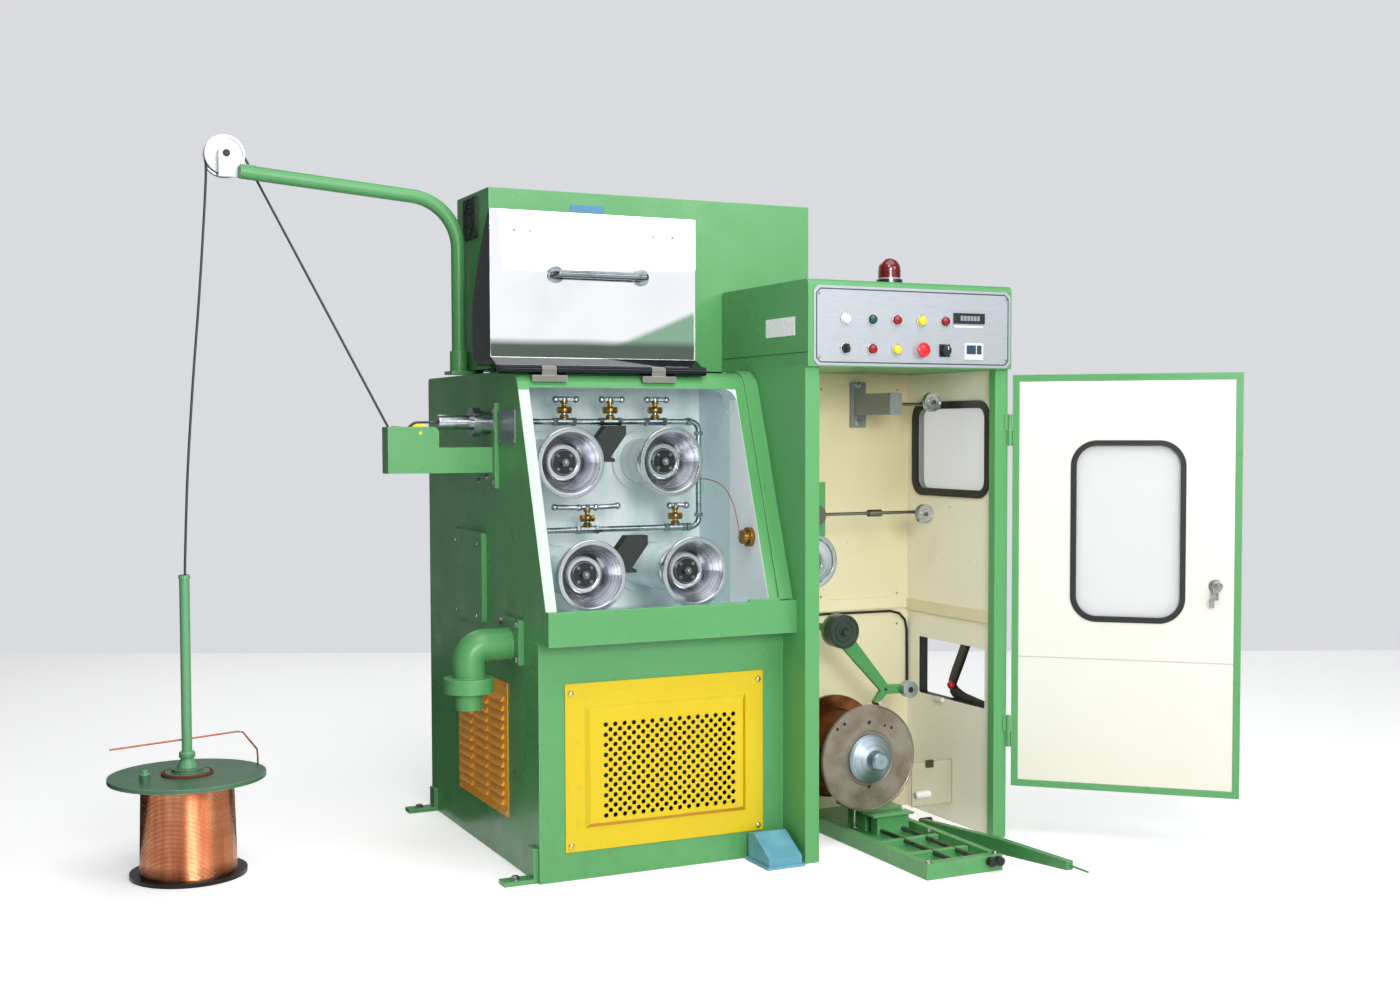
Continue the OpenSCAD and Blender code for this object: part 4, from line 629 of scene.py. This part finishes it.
# Painted dark reflection: all but the mirror front face is near-black, except the pale satin back.
painted_dark_rims = math_node(tree, "SUBTRACT", 1.0, inside(tree, where, (-54.5, 220, 1437), (579, 223.5, 1850)))
outer = inside(tree, where, (-53, 224, 1420), (577, None, None))
base = blend(tree, span(tree, smear, 0.4, 0.8, 0.0, 0.25), "f4f5f6", "c3c8cc")
base = blend(tree, outer, blend(tree, painted_dark_rims, base, "2a2d30"), "c2c7cb")
polish = span(tree, smear, 0.3, 0.7, 0.006, 0.02)
principled(tree, out, {
    "Base Color": base, "Metallic": 1.0,
    "Roughness": math_node(tree, "MAXIMUM", polish, math_node(tree, "MULTIPLY", outer, 0.3)),
    "Normal": bump(tree, noise(tree, where, 2.2, 1.0), 0.0003, 0.001)})
finish("lid", mat)
finish("lid_handle", metal("chrome plate, handle", "7d858a", 0.12, dark=0.7, worn="23282b"))
screws = [dome_screw(x, 222.2, 1793, FRONT, 5) for x in (17, 65, 442, 503)]
fitting("lid_screws", screws, plated, "lid")
finish("fixed_hinges", enamel("green enamel, browned steel hinge", GREEN, [
    ((None, None, None), (1400, None, None), "77736e")], rough=0.25))


# Vent panel and louvre panel: pressed and slotted sheet, painted yellow and orange, each held
# by a screw in every corner. Their colour is painted deeper on faces that point down or to the right:
# painted shade in the folds.
def sheet_panel(name, colour, deep):
    """Enamel with painted shade: its colour deepens where the sheet faces down or to the right."""
    mat, tree, out = empty_material(name)
    where = place(tree)
    # Painted shade: faces that point down or to the right take the deep colour.
    painted_shade_by_facing = vector_node(tree, "DOT_PRODUCT",
                         add(tree, "ShaderNodeNewGeometry").outputs["Normal"], (0.75, 0.0, -0.9))
    base = blend(tree, span(tree, painted_shade_by_facing, 0.12, 0.6), colour, deep)
    patch = noise(tree, where, 4, 4.0)
    base = blend(tree, span(tree, patch, 0.4, 0.75, 0.0, 0.12), base, deep)
    spots = span(tree, noise(tree, where, 40, 5.0), 0.62, 0.8, 0.0, 0.14)
    base = blend(tree, spots, base, "7a6a2a")
    principled(tree, out, {
        "Base Color": base, "Roughness": span(tree, patch, 0.3, 0.7, 0.26, 0.42), "IOR": 1.5,
        "Normal": bump(tree, noise(tree, where, SKIN, 1.0), SKIN_DEPTH, 0.003)})
    return mat


finish("vent_panel", sheet_panel("yellow enamel, perforated sheet", "dcc000", "c88400"))
finish("louvre_panel", sheet_panel("orange enamel, louvred sheet", "ffb02c", "c8761a"))


# Entry side: a turned steel guide tube, a steel fork and a nylon roller on the green bracket, and
# the wire's pulley of white nylon at the top of the arm.
black_rubber = dull("black rubber", "0c0d0d", 0.5)
finish("inlet_guide", metal("turned steel guide", "b4b9be", 0.18, dark=0.4))
finish("pulley_fork", metal("bare machined steel", "a9acac", 0.3))
nylon = dull("white nylon", "eef0f0", 0.35)
finish("payoff_pulley", nylon)
low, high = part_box("payoff_pulley")
px, pz = ((low + high) / 2).x * 1000 + 375, ((low + high) / 2).z * 1000
finish("payoff_arm", enamel("green enamel, white lug", GREEN, [
    ((None, 622, None), (px + 30, 631, None), "e8eaea")], grime=0.0))
fitting("pulley_pin_cap", [turned([(10, 0), (10, 4), (8, 5)], (px, 622.5, pz), FRONT, 18)],
        black_rubber)
finish("entry_roller", dull("yellow nylon", "f2d400", 0.4))
finish("fan_grille", dull("dark plastic grille", "1c2022", 0.5))
finish("foot_switch", dull("blue hammered plastic", "5f9db2", 0.5, scale=220, depth=0.0012,
                           second="79b6c8"))


# Plates without lettering: a white one on the control box's side, a blue one on the cabinet
# behind, and the dark seam where the box's side sheet is joined.
def slab(low, high):
    """A box between two corners in millimetres."""
    points = np.array([[(low, high)[(i >> a) & 1][a] for a in range(3)] for i in range(8)], float)
    return points, [(0, 2, 3, 1), (4, 5, 7, 6), (0, 1, 5, 4), (2, 6, 7, 3), (0, 4, 6, 2),
                    (1, 3, 7, 5)]


fitting("blank_white_plate", [slab((749, -73, 1500), (750.4, 102, 1553))],
        dull("white enamelled plate", "f2f4f4", 0.3, depth=0.00001, edge=0.0))
fitting("blank_blue_plate", [slab((251, 391.8, 1877), (359, 393.4, 1897))],
        dull("blue enamelled plate", "3f7fae", 0.3))
fitting("box_side_seam", [slab((749.3, -146, 1449), (750.3, 384, 1451))],
        dull("dark green shadow gap", "20452a", 0.6))

# Take-up cabinet: sheet-steel walls, cream inside and green outside, a black rubber seal round
# the side window and milky acrylic in it. Folded seams cross the walls at knee height.
CREAM = "f0e9c6"
WARM_UPPER = "d9c795"


def cream_paint(name, zone=None, upper_warmth=0.8, cream=CREAM, cut=None):
    """Cream enamel, warmer and darker from knee height up, with oil specks; green outside its zone,
    and black rubber edging on the cut edges inside the box cut."""
    mat, tree, out = empty_material(name)
    where = place(tree)
    patch = noise(tree, where, 2.4, 4.0)
    height = axes_of(tree, where)["Z"]
    warm = math_node(tree, "MULTIPLY", span(tree, height, 0.5, 1.35, 0.15 * upper_warmth, upper_warmth),
                     span(tree, patch, 0.3, 0.7, 0.5, 1.0))
    base = blend(tree, warm, cream, WARM_UPPER)
    specks = span(tree, noise(tree, where, 60, 3.0), 0.72, 0.78, 0.0, 0.5)
    base = blend(tree, specks, base, "7d6b48")
    if zone:
        base = blend(tree, inside(tree, where, *zone), GREEN, base)
    if cut:
        base = blend(tree, inside(tree, where, *cut), base, "0e1010")
    principled(tree, out, {
        "Base Color": base, "Roughness": span(tree, patch, 0.3, 0.7, 0.28, 0.45), "IOR": 1.5,
        "Normal": bump(tree, noise(tree, where, SKIN, 1.0), SKIN_DEPTH, 0.0025)})
    return mat


finish("takeup_left_wall", cream_paint("green enamel, cream inner face",
                                       ((761, -92, 1), (763, 400, 1409))))
finish("takeup_back_wall", cream_paint("cream enamel"))
# The right wall's inside takes a paler cream with little warmth from knee height up: a painted
# highlight for the light that falls on it, brighter than on the back wall.
finish("takeup_right_wall", cream_paint("green enamel, cream inside",
                                        ((None, -102, 1), (1411, 400, 1409)), 0.12, "fdf9e8",
                                        ((1410.2, -68.5, 382.5), (1441.8, 290.5, 565.5))))
cream = cream_paint("cream enamel, folded seams", upper_warmth=0.4)
fitting("wall_seams", [slab((762, 356, 652), (1410, 364, 690)),
                       slab((1403, -102, 646), (1411, 357, 684))], cream)
fitting("back_wall_screws", [dome_screw(x, 363, z, FRONT, 4) for x in (800, 1085, 1370)
                             for z in (700, 1360, 600, 90)], plated)
finish("right_wall_seals", black_rubber)
finish("door_seal", black_rubber)
bend = [(758, 356, 640), (1100, 356, 645), (1340, 356, 643), (1376, 356, 634), (1397, 356, 612),
        (1404, 356, 580), (1405, 356, 478), (1405, 356, 379)]
fitting("cable_conduit", [swept(bend, 4, 10)], black_rubber)


def milky(name, colour, alpha=1.0):
    """Pale acrylic sheet; the opal one lets light through, the clear one also the view."""
    mat, tree, out = empty_material(name)
    smear = noise(tree, place(tree), 12, 4.0)
    surface = add(tree, "ShaderNodeBsdfPrincipled", {
        "Base Color": linear(colour), "Roughness": span(tree, smear, 0.3, 0.7, 0.05, 0.14),
        "IOR": 1.49, "Alpha": alpha})
    last = surface
    if alpha == 1.0:
        through = add(tree, "ShaderNodeBsdfTranslucent", {"Color": linear(colour)})
        last = add(tree, "ShaderNodeMixShader", {"Fac": 0.55, 1: surface.outputs[0],
                                                 2: through.outputs[0]})
    tree.links.new(last.outputs[0], out.inputs[0])
    return mat


finish("side_glass", milky("clear acrylic, side window", "fdfefe", 0.3))
finish("door_glass", milky("opal acrylic, door window", "fdfefe"))
finish("spool_guard", milky("clear acrylic guard", "f3eccf", 0.13))

# Hand opening: outside it hangs a bent black grab arm with a red ball knob, bolted flat to the
# wall's outer face above and below the opening. Its rim has a white nylon slide.
black_bar = dull("black painted bar", "141a1a", 0.4)
path = [(1449, 62, 602), (1449, 78, 575), (1449, 108, 520), (1449, 142, 462), (1449, 158, 432),
        (1449, 152, 408), (1449, 130, 394), (1449, 90, 382), (1449, 20, 374), (1449, -52, 367)]
fitting("grab_arm", [swept(path, 6.4, 16, 4.0)], black_bar)
fitting("grab_arm_bolts", hex_bolt(1455, 66, 594, (1, 0, 0), 8)
        + hex_bolt(1455, -40, 368, (1, 0, 0), 8), plated)
fitting("grab_arm_knob", [ball(1436, 148, 424, 13), turned([(5, 0), (5, 14)], (1434, 148, 424),
                                                           (1, 0, 0), 12)],
        dull("red plastic knob", "b3202b", 0.25))
fitting("opening_slide", [slab((1400, 150, 372), (1411, 196, 384))], dull("white nylon slide",
                                                                           "e8e8e2", 0.4))

# Wire guides in the cabinet: two deep-grooved steel pulleys on browned rods, a green bracket and
# a bare cast one, and the large capstan wheel behind the left post.
finish("guide_rods", metal("steel rods, browned", "77736c", 0.35))
finish("capstan_wheel", turned_steel("polished turned steel, capstan", 908, 839))
finish("upper_guide_pulley", turned_steel("steel pulley, upper", 1341, 1317))
finish("lower_guide_pulley", turned_steel("steel pulley, lower", 1315, 970))
finish("guide_plates", enamel("green enamel, bare cast bracket", GREEN, [
    ((1180, None, None), (1260, None, None), "85888a")]))
fitting("small_plate_screws", [dome_screw(940, 149, 1050, FRONT, 7),
                               dome_screw(800, 149, 1050, FRONT, 7)], black_bar)

# Dancer: a green arm on a dark cast hub, with a silvery roller at its tip and a small one on the
# short leg.
mat, tree, out = empty_material("green enamel arm, dark hub, steel rollers")
where = place(tree)
base = blend(tree, span(tree, noise(tree, where, 9, 4.0), 0.35, 0.7, 0.0, 0.3), "4a9650",
             "2f6b3a")
shine = 0.0
PIVOT, ROLLER, ARM_FRONT = (1013, 622), (1257, 427.5), 131.5
for (x, z), r, code, bare in ((PIVOT, 52.5, "23362a", False), (ROLLER, 27, "b9bfc4", True),
                              ((1150, 392), 9, "b9bfc4", True)):
    disc = math_node(tree, "MULTIPLY",
                     math_node(tree, "LESS_THAN", from_axis(tree, where, x, z), r / 1000),
                     inside(tree, where, (None, None, None), (None, ARM_FRONT, None)))
    base = blend(tree, disc, base, code)
    if bare:
        shine = math_node(tree, "MAXIMUM", shine, disc)
principled(tree, out, {
    "Base Color": base, "Metallic": shine, "Roughness": 0.28,
    "Normal": bump(tree, noise(tree, where, 300, 1.0), 0.0001, 0.003)})
finish("dancer_arm", mat)
hub = (PIVOT[0], 94, PIVOT[1])
fitting("dancer_hub_rings", [hoop(hub, r, t) for r, t in ((46, 3), (30, 3), (14, 4))]
        + [turned([(11, 0), (11, 6), (9, 8)], hub, FRONT, 6)],
        dull("dark cast iron hub", "1c2a22", 0.35), "dancer")
fitting("dancer_roller_ends", [
    turned([(9, 0), (9, 1.2), (8, 1.5)], (ROLLER[0], 104, ROLLER[1]), FRONT, 16),
    dome_screw(1040, 132, 596, FRONT, 6), dome_screw(1184, 132, 430, FRONT, 5)], black_bar, "dancer")


# Take-up spool: a pressed steel spool, its front flange worn to bare grey-brown steel with rust
# and drive holes, wound with dark copper wire in close layers and held by a steel clamp.
def wound(name, axis, pitch, flange, colour, deep, worn, rusty):
    """Copper wire wound round an axis, rings a pitch in mm apart, drawn coarser than the wire so
    that they show; the flange between two corners in mm has worn and rusty colours."""
    mat, tree, out = empty_material(name)
    where = place(tree)
    along = axes_of(tree, where)[axis]
    wave = math_node(tree, "SINE", math_node(tree, "MULTIPLY", along, 2000 * math.pi / pitch))
    streak = noise(tree, where, 26, 3.0, (1, 1, 0.1) if axis == "Z" else (1, 0.1, 1))
    bands = noise(tree, where, 30, 2.0, (0.05, 0.05, 1) if axis == "Z" else (0.05, 1, 0.05))
    base = blend(tree, span(tree, streak, 0.3, 0.7), colour, deep)
    base = blend(tree, span(tree, bands, 0.45, 0.7, 0.0, 0.5), base, deep)
    area = inside(tree, where, *flange)
    rust = span(tree, noise(tree, where, 15, 7.0), 0.4, 0.72, 0.0, 0.75)
    base = blend(tree, area, base, blend(tree, rust, worn, rusty))
    lines = math_node(tree, "MULTIPLY", span(tree, wave, -1, 1),
                      math_node(tree, "SUBTRACT", 1.0, area))
    principled(tree, out, {
        "Base Color": base, "Metallic": span(tree, area, 0, 1, 1.0, 0.4),
        "Roughness": span(tree, area, 0, 1, 0.22, 0.36),
        "Normal": bump(tree, lines, 0.0004, 0.001)})
    return mat


SPOOL_X, SPOOL_Z, FLANGE_Y = 1031, 257, -20
finish("take_up_spool", wound("dark copper winding, worn steel flange", "Y", 5.0,
                              ((None, None, None), (None, -7.9, None)),
                              "8a5530", "4a2c18", "8d8676", "5d4230"))
# The drive holes are black discs laid on the flange: painted shade for the dark seen through them.
holes = [(90, 107, 6), (-90, 84, 6), (128, 138, 5), (139, 145, 5), (48, 115, 5), (60, 108, 4)]
fitting("flange_holes", [turned([(r, 0), (r, 0.7), (r * 0.8, 0.8)], (
    SPOOL_X + away * math.cos(math.radians(angle)), FLANGE_Y,
    SPOOL_Z + away * math.sin(math.radians(angle))), FRONT, 14)
    for angle, away, r in holes], black_rubber, "spool")
fitting("flange_rim", [hoop((SPOOL_X, -19, SPOOL_Z), 154, 2.2, count=72),
                       hoop((SPOOL_X, -19.4, SPOOL_Z), 82, 1.6, count=48)],
        metal("worn steel rim", "8f8a80", 0.35, dark=0.5, worn="4a3a2c"), "spool")
finish("spool_clamp", turned_steel("grey-blue steel clamp", SPOOL_X, SPOOL_Z, colour="9fb0b8",
                                   rough=0.42))
# The spindle housing is near-black: painted shade for the dark hollow behind the spool's rear flange.
finish("spindle_housing", dull("near-black housing, painted shade behind the spool", "20302f", 0.4, second="2c3d3b"))

# Loading platform: a guard clamp and a white roller beside the spool, on the clear guard plate.
fitting("guard_clamp", [slab((1311, 96, 180), (1337, 106, 203))], metal("brown steel clamp",
                                                                         "6b5b48", 0.4))
fitting("guard_roller", [turned([(8, 0), (12, 3), (12, 52), (8, 56), (4, 58)], (1262, 88, 100),
                                (1, 0, 0), 20)], dull("white nylon roller", "ecece6", 0.4))
edge = [(1260, 102, 61), (1260, 102, 199), (1409, 102, 199), (1409, 102, 61), (1260, 102, 61)]
fitting("guard_edges", [swept([a, b], 1.6, 6) for a, b in zip(edge, edge[1:])],
        dull("polished edge of the acrylic", "b8a878", 0.3))
finish("lift_lever", enamel("green enamel, lift lever", "478f52", grime=0.5))
rods = [swept([(x, -400, 34), (x, 20, 34)], 7, 14) for x in (1075, 1150)]
fitting("platform_shafts", rods, metal("dark oiled shafts", "6d7472", 0.25, dark=0.5))
ends = [turned([(11, 0), (13, 3), (13, 20), (10, 23)], (x, -430, 30), FRONT, 16)
        for x in (1170, 1196)]
ends += [turned([(8, 0), (8, 40), (6, 42)], (1262, 58, 28), (1, 0, 0), 14)]
fitting("platform_rod_ends", ends, black_rubber)
bars = [slab((990, -300, 20), (1190, -282, 40)), slab((990, -150, 20), (1190, -132, 40)),
        slab((1060, -20, 20), (1170, 16, 78)), slab((1040, -34, 78), (1180, 14, 84))]
fitting("platform_crossbars", bars, green)
posts = [turned([(4, 0), (4, 62), (3, 64)], (1003, 18, 45), UP, 12),
         *hex_bolt(1003, 18, 45, UP, 9), *hex_bolt(1176, -120, 45, UP, 7)]
fitting("platform_posts", posts, plated)


# Door: green folded rim, cream inner panel, black seal, and a lock whose keys hang in it. The
# door stands open, so its fittings are turned by the same angle round the hinge.
HINGE_X, HINGE_Y, DOOR_OPEN = 1446, -140, 137


def on_door(part):
    """Turns points given for the closed door to its open place round the upright hinge axis."""
    points, faces = part
    turn = math.radians(DOOR_OPEN)
    x, y = points[:, 0] - HINGE_X, points[:, 1] - HINGE_Y
    moved = np.stack([HINGE_X + x * math.cos(turn) - y * math.sin(turn),
                      HINGE_Y + x * math.sin(turn) + y * math.cos(turn), points[:, 2]], 1)
    return moved, faces


finish("door_leaf", enamel("green enamel, door", GREEN, grime=0.15))
mat, tree, out = empty_material("white-cream enamel, door lining")
where = place(tree)
patch = noise(tree, where, 2.0, 4.0)
low = span(tree, axes_of(tree, where)["Z"], 0.1, 0.55, 0.5, 0.0)
base = blend(tree, low, blend(tree, span(tree, patch, 0.4, 0.8, 0.0, 0.35), "e6e7df", "ded9c5"),
             "e6dfc6")
principled(tree, out, {
    "Base Color": base, "Roughness": span(tree, patch, 0.3, 0.7, 0.3, 0.45), "IOR": 1.5,
    "Normal": bump(tree, noise(tree, where, SKIN, 1.0), SKIN_DEPTH, 0.002)})
finish("door_lining", mat)
key = [slab((847, -123, 738), (863, -121, 764)), slab((852.5, -123, 764), (857.5, -121, 778)),
       slab((858, -120, 716), (872, -118.5, 742)), slab((862, -120, 742), (866, -118.5, 762))]
ring = hoop((858, -121, 756), 9, 1.2)
lock = [turned([(20, 0), (20, 2.5), (18, 4)], (855, -139, 777), (0, 1, 0), 28),
        turned([(13, 3), (14, 5), (14, 13), (12, 15)], (855, -139, 777), (0, 1, 0), 24), ring]
fitting("door_lock", [on_door(p) for p in lock + key], metal("nickel-plated lock", "a8a8a4", 0.22,
                                                            dark=0.4), "door")

# Control panel: a satin aluminium plate with cut corners and a dark engraved border, and no
# lettering. The keys sit in bright bezels, above a counter and a small meter.
finish("control_box", green)
mat, tree, out = empty_material("satin anodised aluminium plate")
where = place(tree)
brush = noise(tree, where, 500, 2.0, (0.05, 1, 1))
principled(tree, out, {
    "Base Color": blend(tree, span(tree, brush, 0.3, 0.7, 0.0, 0.35), "b3b7be", "989ca4"),
    "Metallic": 0.4, "Roughness": span(tree, brush, 0.3, 0.7, 0.38, 0.5),
    "Normal": bump(tree, brush, 0.00003, 0.0008)})
finish("control_panel", mat)
PANEL_Y = -153
X0, X1, Z0, Z1, CUT = 775, 1427, 1422, 1628, 12
corners = [(X0 + CUT, Z0), (X1 - CUT, Z0), (X1, Z0 + CUT), (X1, Z1 - CUT), (X1 - CUT, Z1),
           (X0 + CUT, Z1), (X0, Z1 - CUT), (X0, Z0 + CUT), (X0 + CUT, Z0)]
border = [swept([(a, PANEL_Y, b), (c, PANEL_Y, d)], 1.8, 6) for (a, b), (c, d) in
          zip(corners, corners[1:])]
black_plastic = dull("black moulded plastic", "15181b", 0.35)
fitting("panel_border", border, dull("dark engraved line", "3d4650", 0.5))
fitting("panel_screws", [dome_screw(x, PANEL_Y, z, FRONT, 4) for x in (783, 1419)
                         for z in (1436, 1614)], plated)

# Push buttons: round keys in chromed bezels, two rows of five. The lower row starts with a
# selector switch and ends with a mushroom-headed stop key and a knob on a dark square base.
COLS, UPPER, LOWER = (867, 955, 1037, 1121, 1202), 1545, 1461
BEZEL = [(18.5, 0), (18.5, 3), (16.5, 6.5), (14.2, 6.5), (13.8, 2), (0.5, 2)]
KEY = [(13.2, 2), (13.2, 10), (11.5, 12.5), (7, 13.6), (0.5, 14)]
keys = {"red_keys": ("8e141d", [(COLS[2], UPPER), (COLS[4], UPPER), (COLS[1], LOWER)]),
        "yellow_keys": ("e6cf2e", [(COLS[3], UPPER), (COLS[2], LOWER)]),
        "green_key": ("0b4a3c", [(COLS[1], UPPER)]), "white_lens": ("eef1f2", [(COLS[0], UPPER)])}
bezels = [turned(BEZEL, (x, PANEL_Y, z), FRONT, 24) for x in COLS for z in (UPPER, LOWER)
          if (x, z) != (COLS[4], LOWER)]
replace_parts(fitting("key_bezels", bezels, metal("bright nickel bezels", "dfe1e2", 0.22,
                                                 dark=0.1)), "push_buttons")
for name, (colour, spots) in keys.items():
    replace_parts(fitting(name, [turned(KEY, (x, PANEL_Y, z), FRONT, 22) for x, z in spots],
                        dull(name.replace("_", " ") + ", moulded plastic", colour, 0.22)),
                "push_buttons")
head = [turned([(8, 2), (8, 9), (20, 12), (21.5, 15), (20, 19), (13, 22), (0.5, 23.5)],
               (COLS[3], PANEL_Y, LOWER), FRONT, 32)]
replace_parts(fitting("stop_key", head, dull("bright red moulded plastic", "d6232a", 0.2)),
            "push_buttons")
black = [turned([(13.2, 2), (13.2, 9), (12, 10)], (COLS[0], PANEL_Y, LOWER), FRONT, 22),
         slab((863, -171, LOWER - 12), (871, -160, LOWER + 12)),
         slab((1184, -156, LOWER - 18), (1220, -152, LOWER + 18)),
         turned([(14, 3), (15, 5), (14, 17), (12, 19)], (COLS[4], PANEL_Y, LOWER), FRONT, 24),
         slab((1233, -159, 1541), (1340, -152, 1571))]
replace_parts(fitting("black_controls", black, black_plastic), "push_buttons")
white = [slab((1203 - 1.5, -173, LOWER + 2), (1203 + 1.5, -172, LOWER + 12)),
         slab((1236, -154, 1529), (1337, -152.5, 1536)), slab((1270, -157, 1436), (1336, -152, 1485))]
drums = [slab((1254 + 11.6 * k, -160, 1549), (1263 + 11.6 * k, -158.5, 1563)) for k in range(6)]
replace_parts(fitting("counter_drums", drums, dull("grey number drums, blank", "8c959b", 0.3)),
            "push_buttons")
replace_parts(fitting("pale_instruments", white, dull("pale grey plastic", "d9dee2", 0.35)),
            "push_buttons")
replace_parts(fitting("meter_window", [slab((1277, -158.2, 1452), (1309, -156.5, 1478)),
                                     slab((1313, -158.2, 1452), (1329, -156.5, 1478))],
                    dull("dark glass window", "3a4a5a", 0.1)), "push_buttons")

# Beacon: a ribbed red dome on a pale collar and a black foot, screwed to the box's top.
mat, tree, out = empty_material("red polycarbonate dome, black foot")
where = place(tree)
foot = inside(tree, where, (None, None, None), (None, None, 1669))
collar = inside(tree, where, (None, None, 1669), (None, None, 1674))
base = blend(tree, foot, "6e1216", "202426")
base = blend(tree, collar, base, "a9a29c")
principled(tree, out, {
    "Base Color": base, "Roughness": 0.12, "IOR": 1.58, "Coat Weight": 0.4,
    "Normal": bump(tree, noise(tree, where, 200, 1.0, (1, 1, 0.05)), 0.0006, 0.001)})
finish("beacon", mat)
fitting("beacon_ribs", [hoop((1072, -60, z), 32.2, 1.2, axis=2) for z in (1680, 1686, 1692)],
        dull("dark red lens ribs", "5c0d12", 0.2))

# Supply spool: bright copper wire wound on a drum with a black foot. A green cap disc turns on it
# with a felt brake ring round its hub, and a hook of copper wire leads off the strand.
SUPPLY_X, SUPPLY_Y = -840, 540
finish("payoff_spool", wound("bright copper winding, black foot", "Z", 3.5,
                             ((None, None, None), (None, None, 12.1)), "eba27a", "b8643f",
                             "101413", "2b2420"))
finish("payoff_cap", enamel("green enamel, dark cap disc", "4a7657", [
    ((None, None, 300), (None, None, None), "68a875")], grime=0.2))
fitting("felt_ring", [hoop((SUPPLY_X, SUPPLY_Y, 283), 66, 5, axis=2, count=48)],
        dull("brown felt ring", "6e3026", 0.9, scale=400, depth=0.001))
hook = [(-1041, 575, 358), (-990, 575, 361), (-934, 575, 365), (-810, 575, 373), (-700, 575, 381),
        (-682, 575, 379), (-664, 575, 354), (-643, 575, 326), (-641, 575, 305), (-641, 575, 280)]
fitting("wire_hook", [swept(hook, 2.5, 8)], copper)
fitting("rod_collar", [
    turned([(20, 0), (22, 3), (22, 14), (18, 18)], (SUPPLY_X, SUPPLY_Y, 326), UP, 24),
    turned([(16, 0), (16, 8), (14.5, 11)], (SUPPLY_X, SUPPLY_Y, 824), UP, 20)],
        enamel("green enamel, rod collar", "68a875"))

size["finished"] = [list(v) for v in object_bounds()]
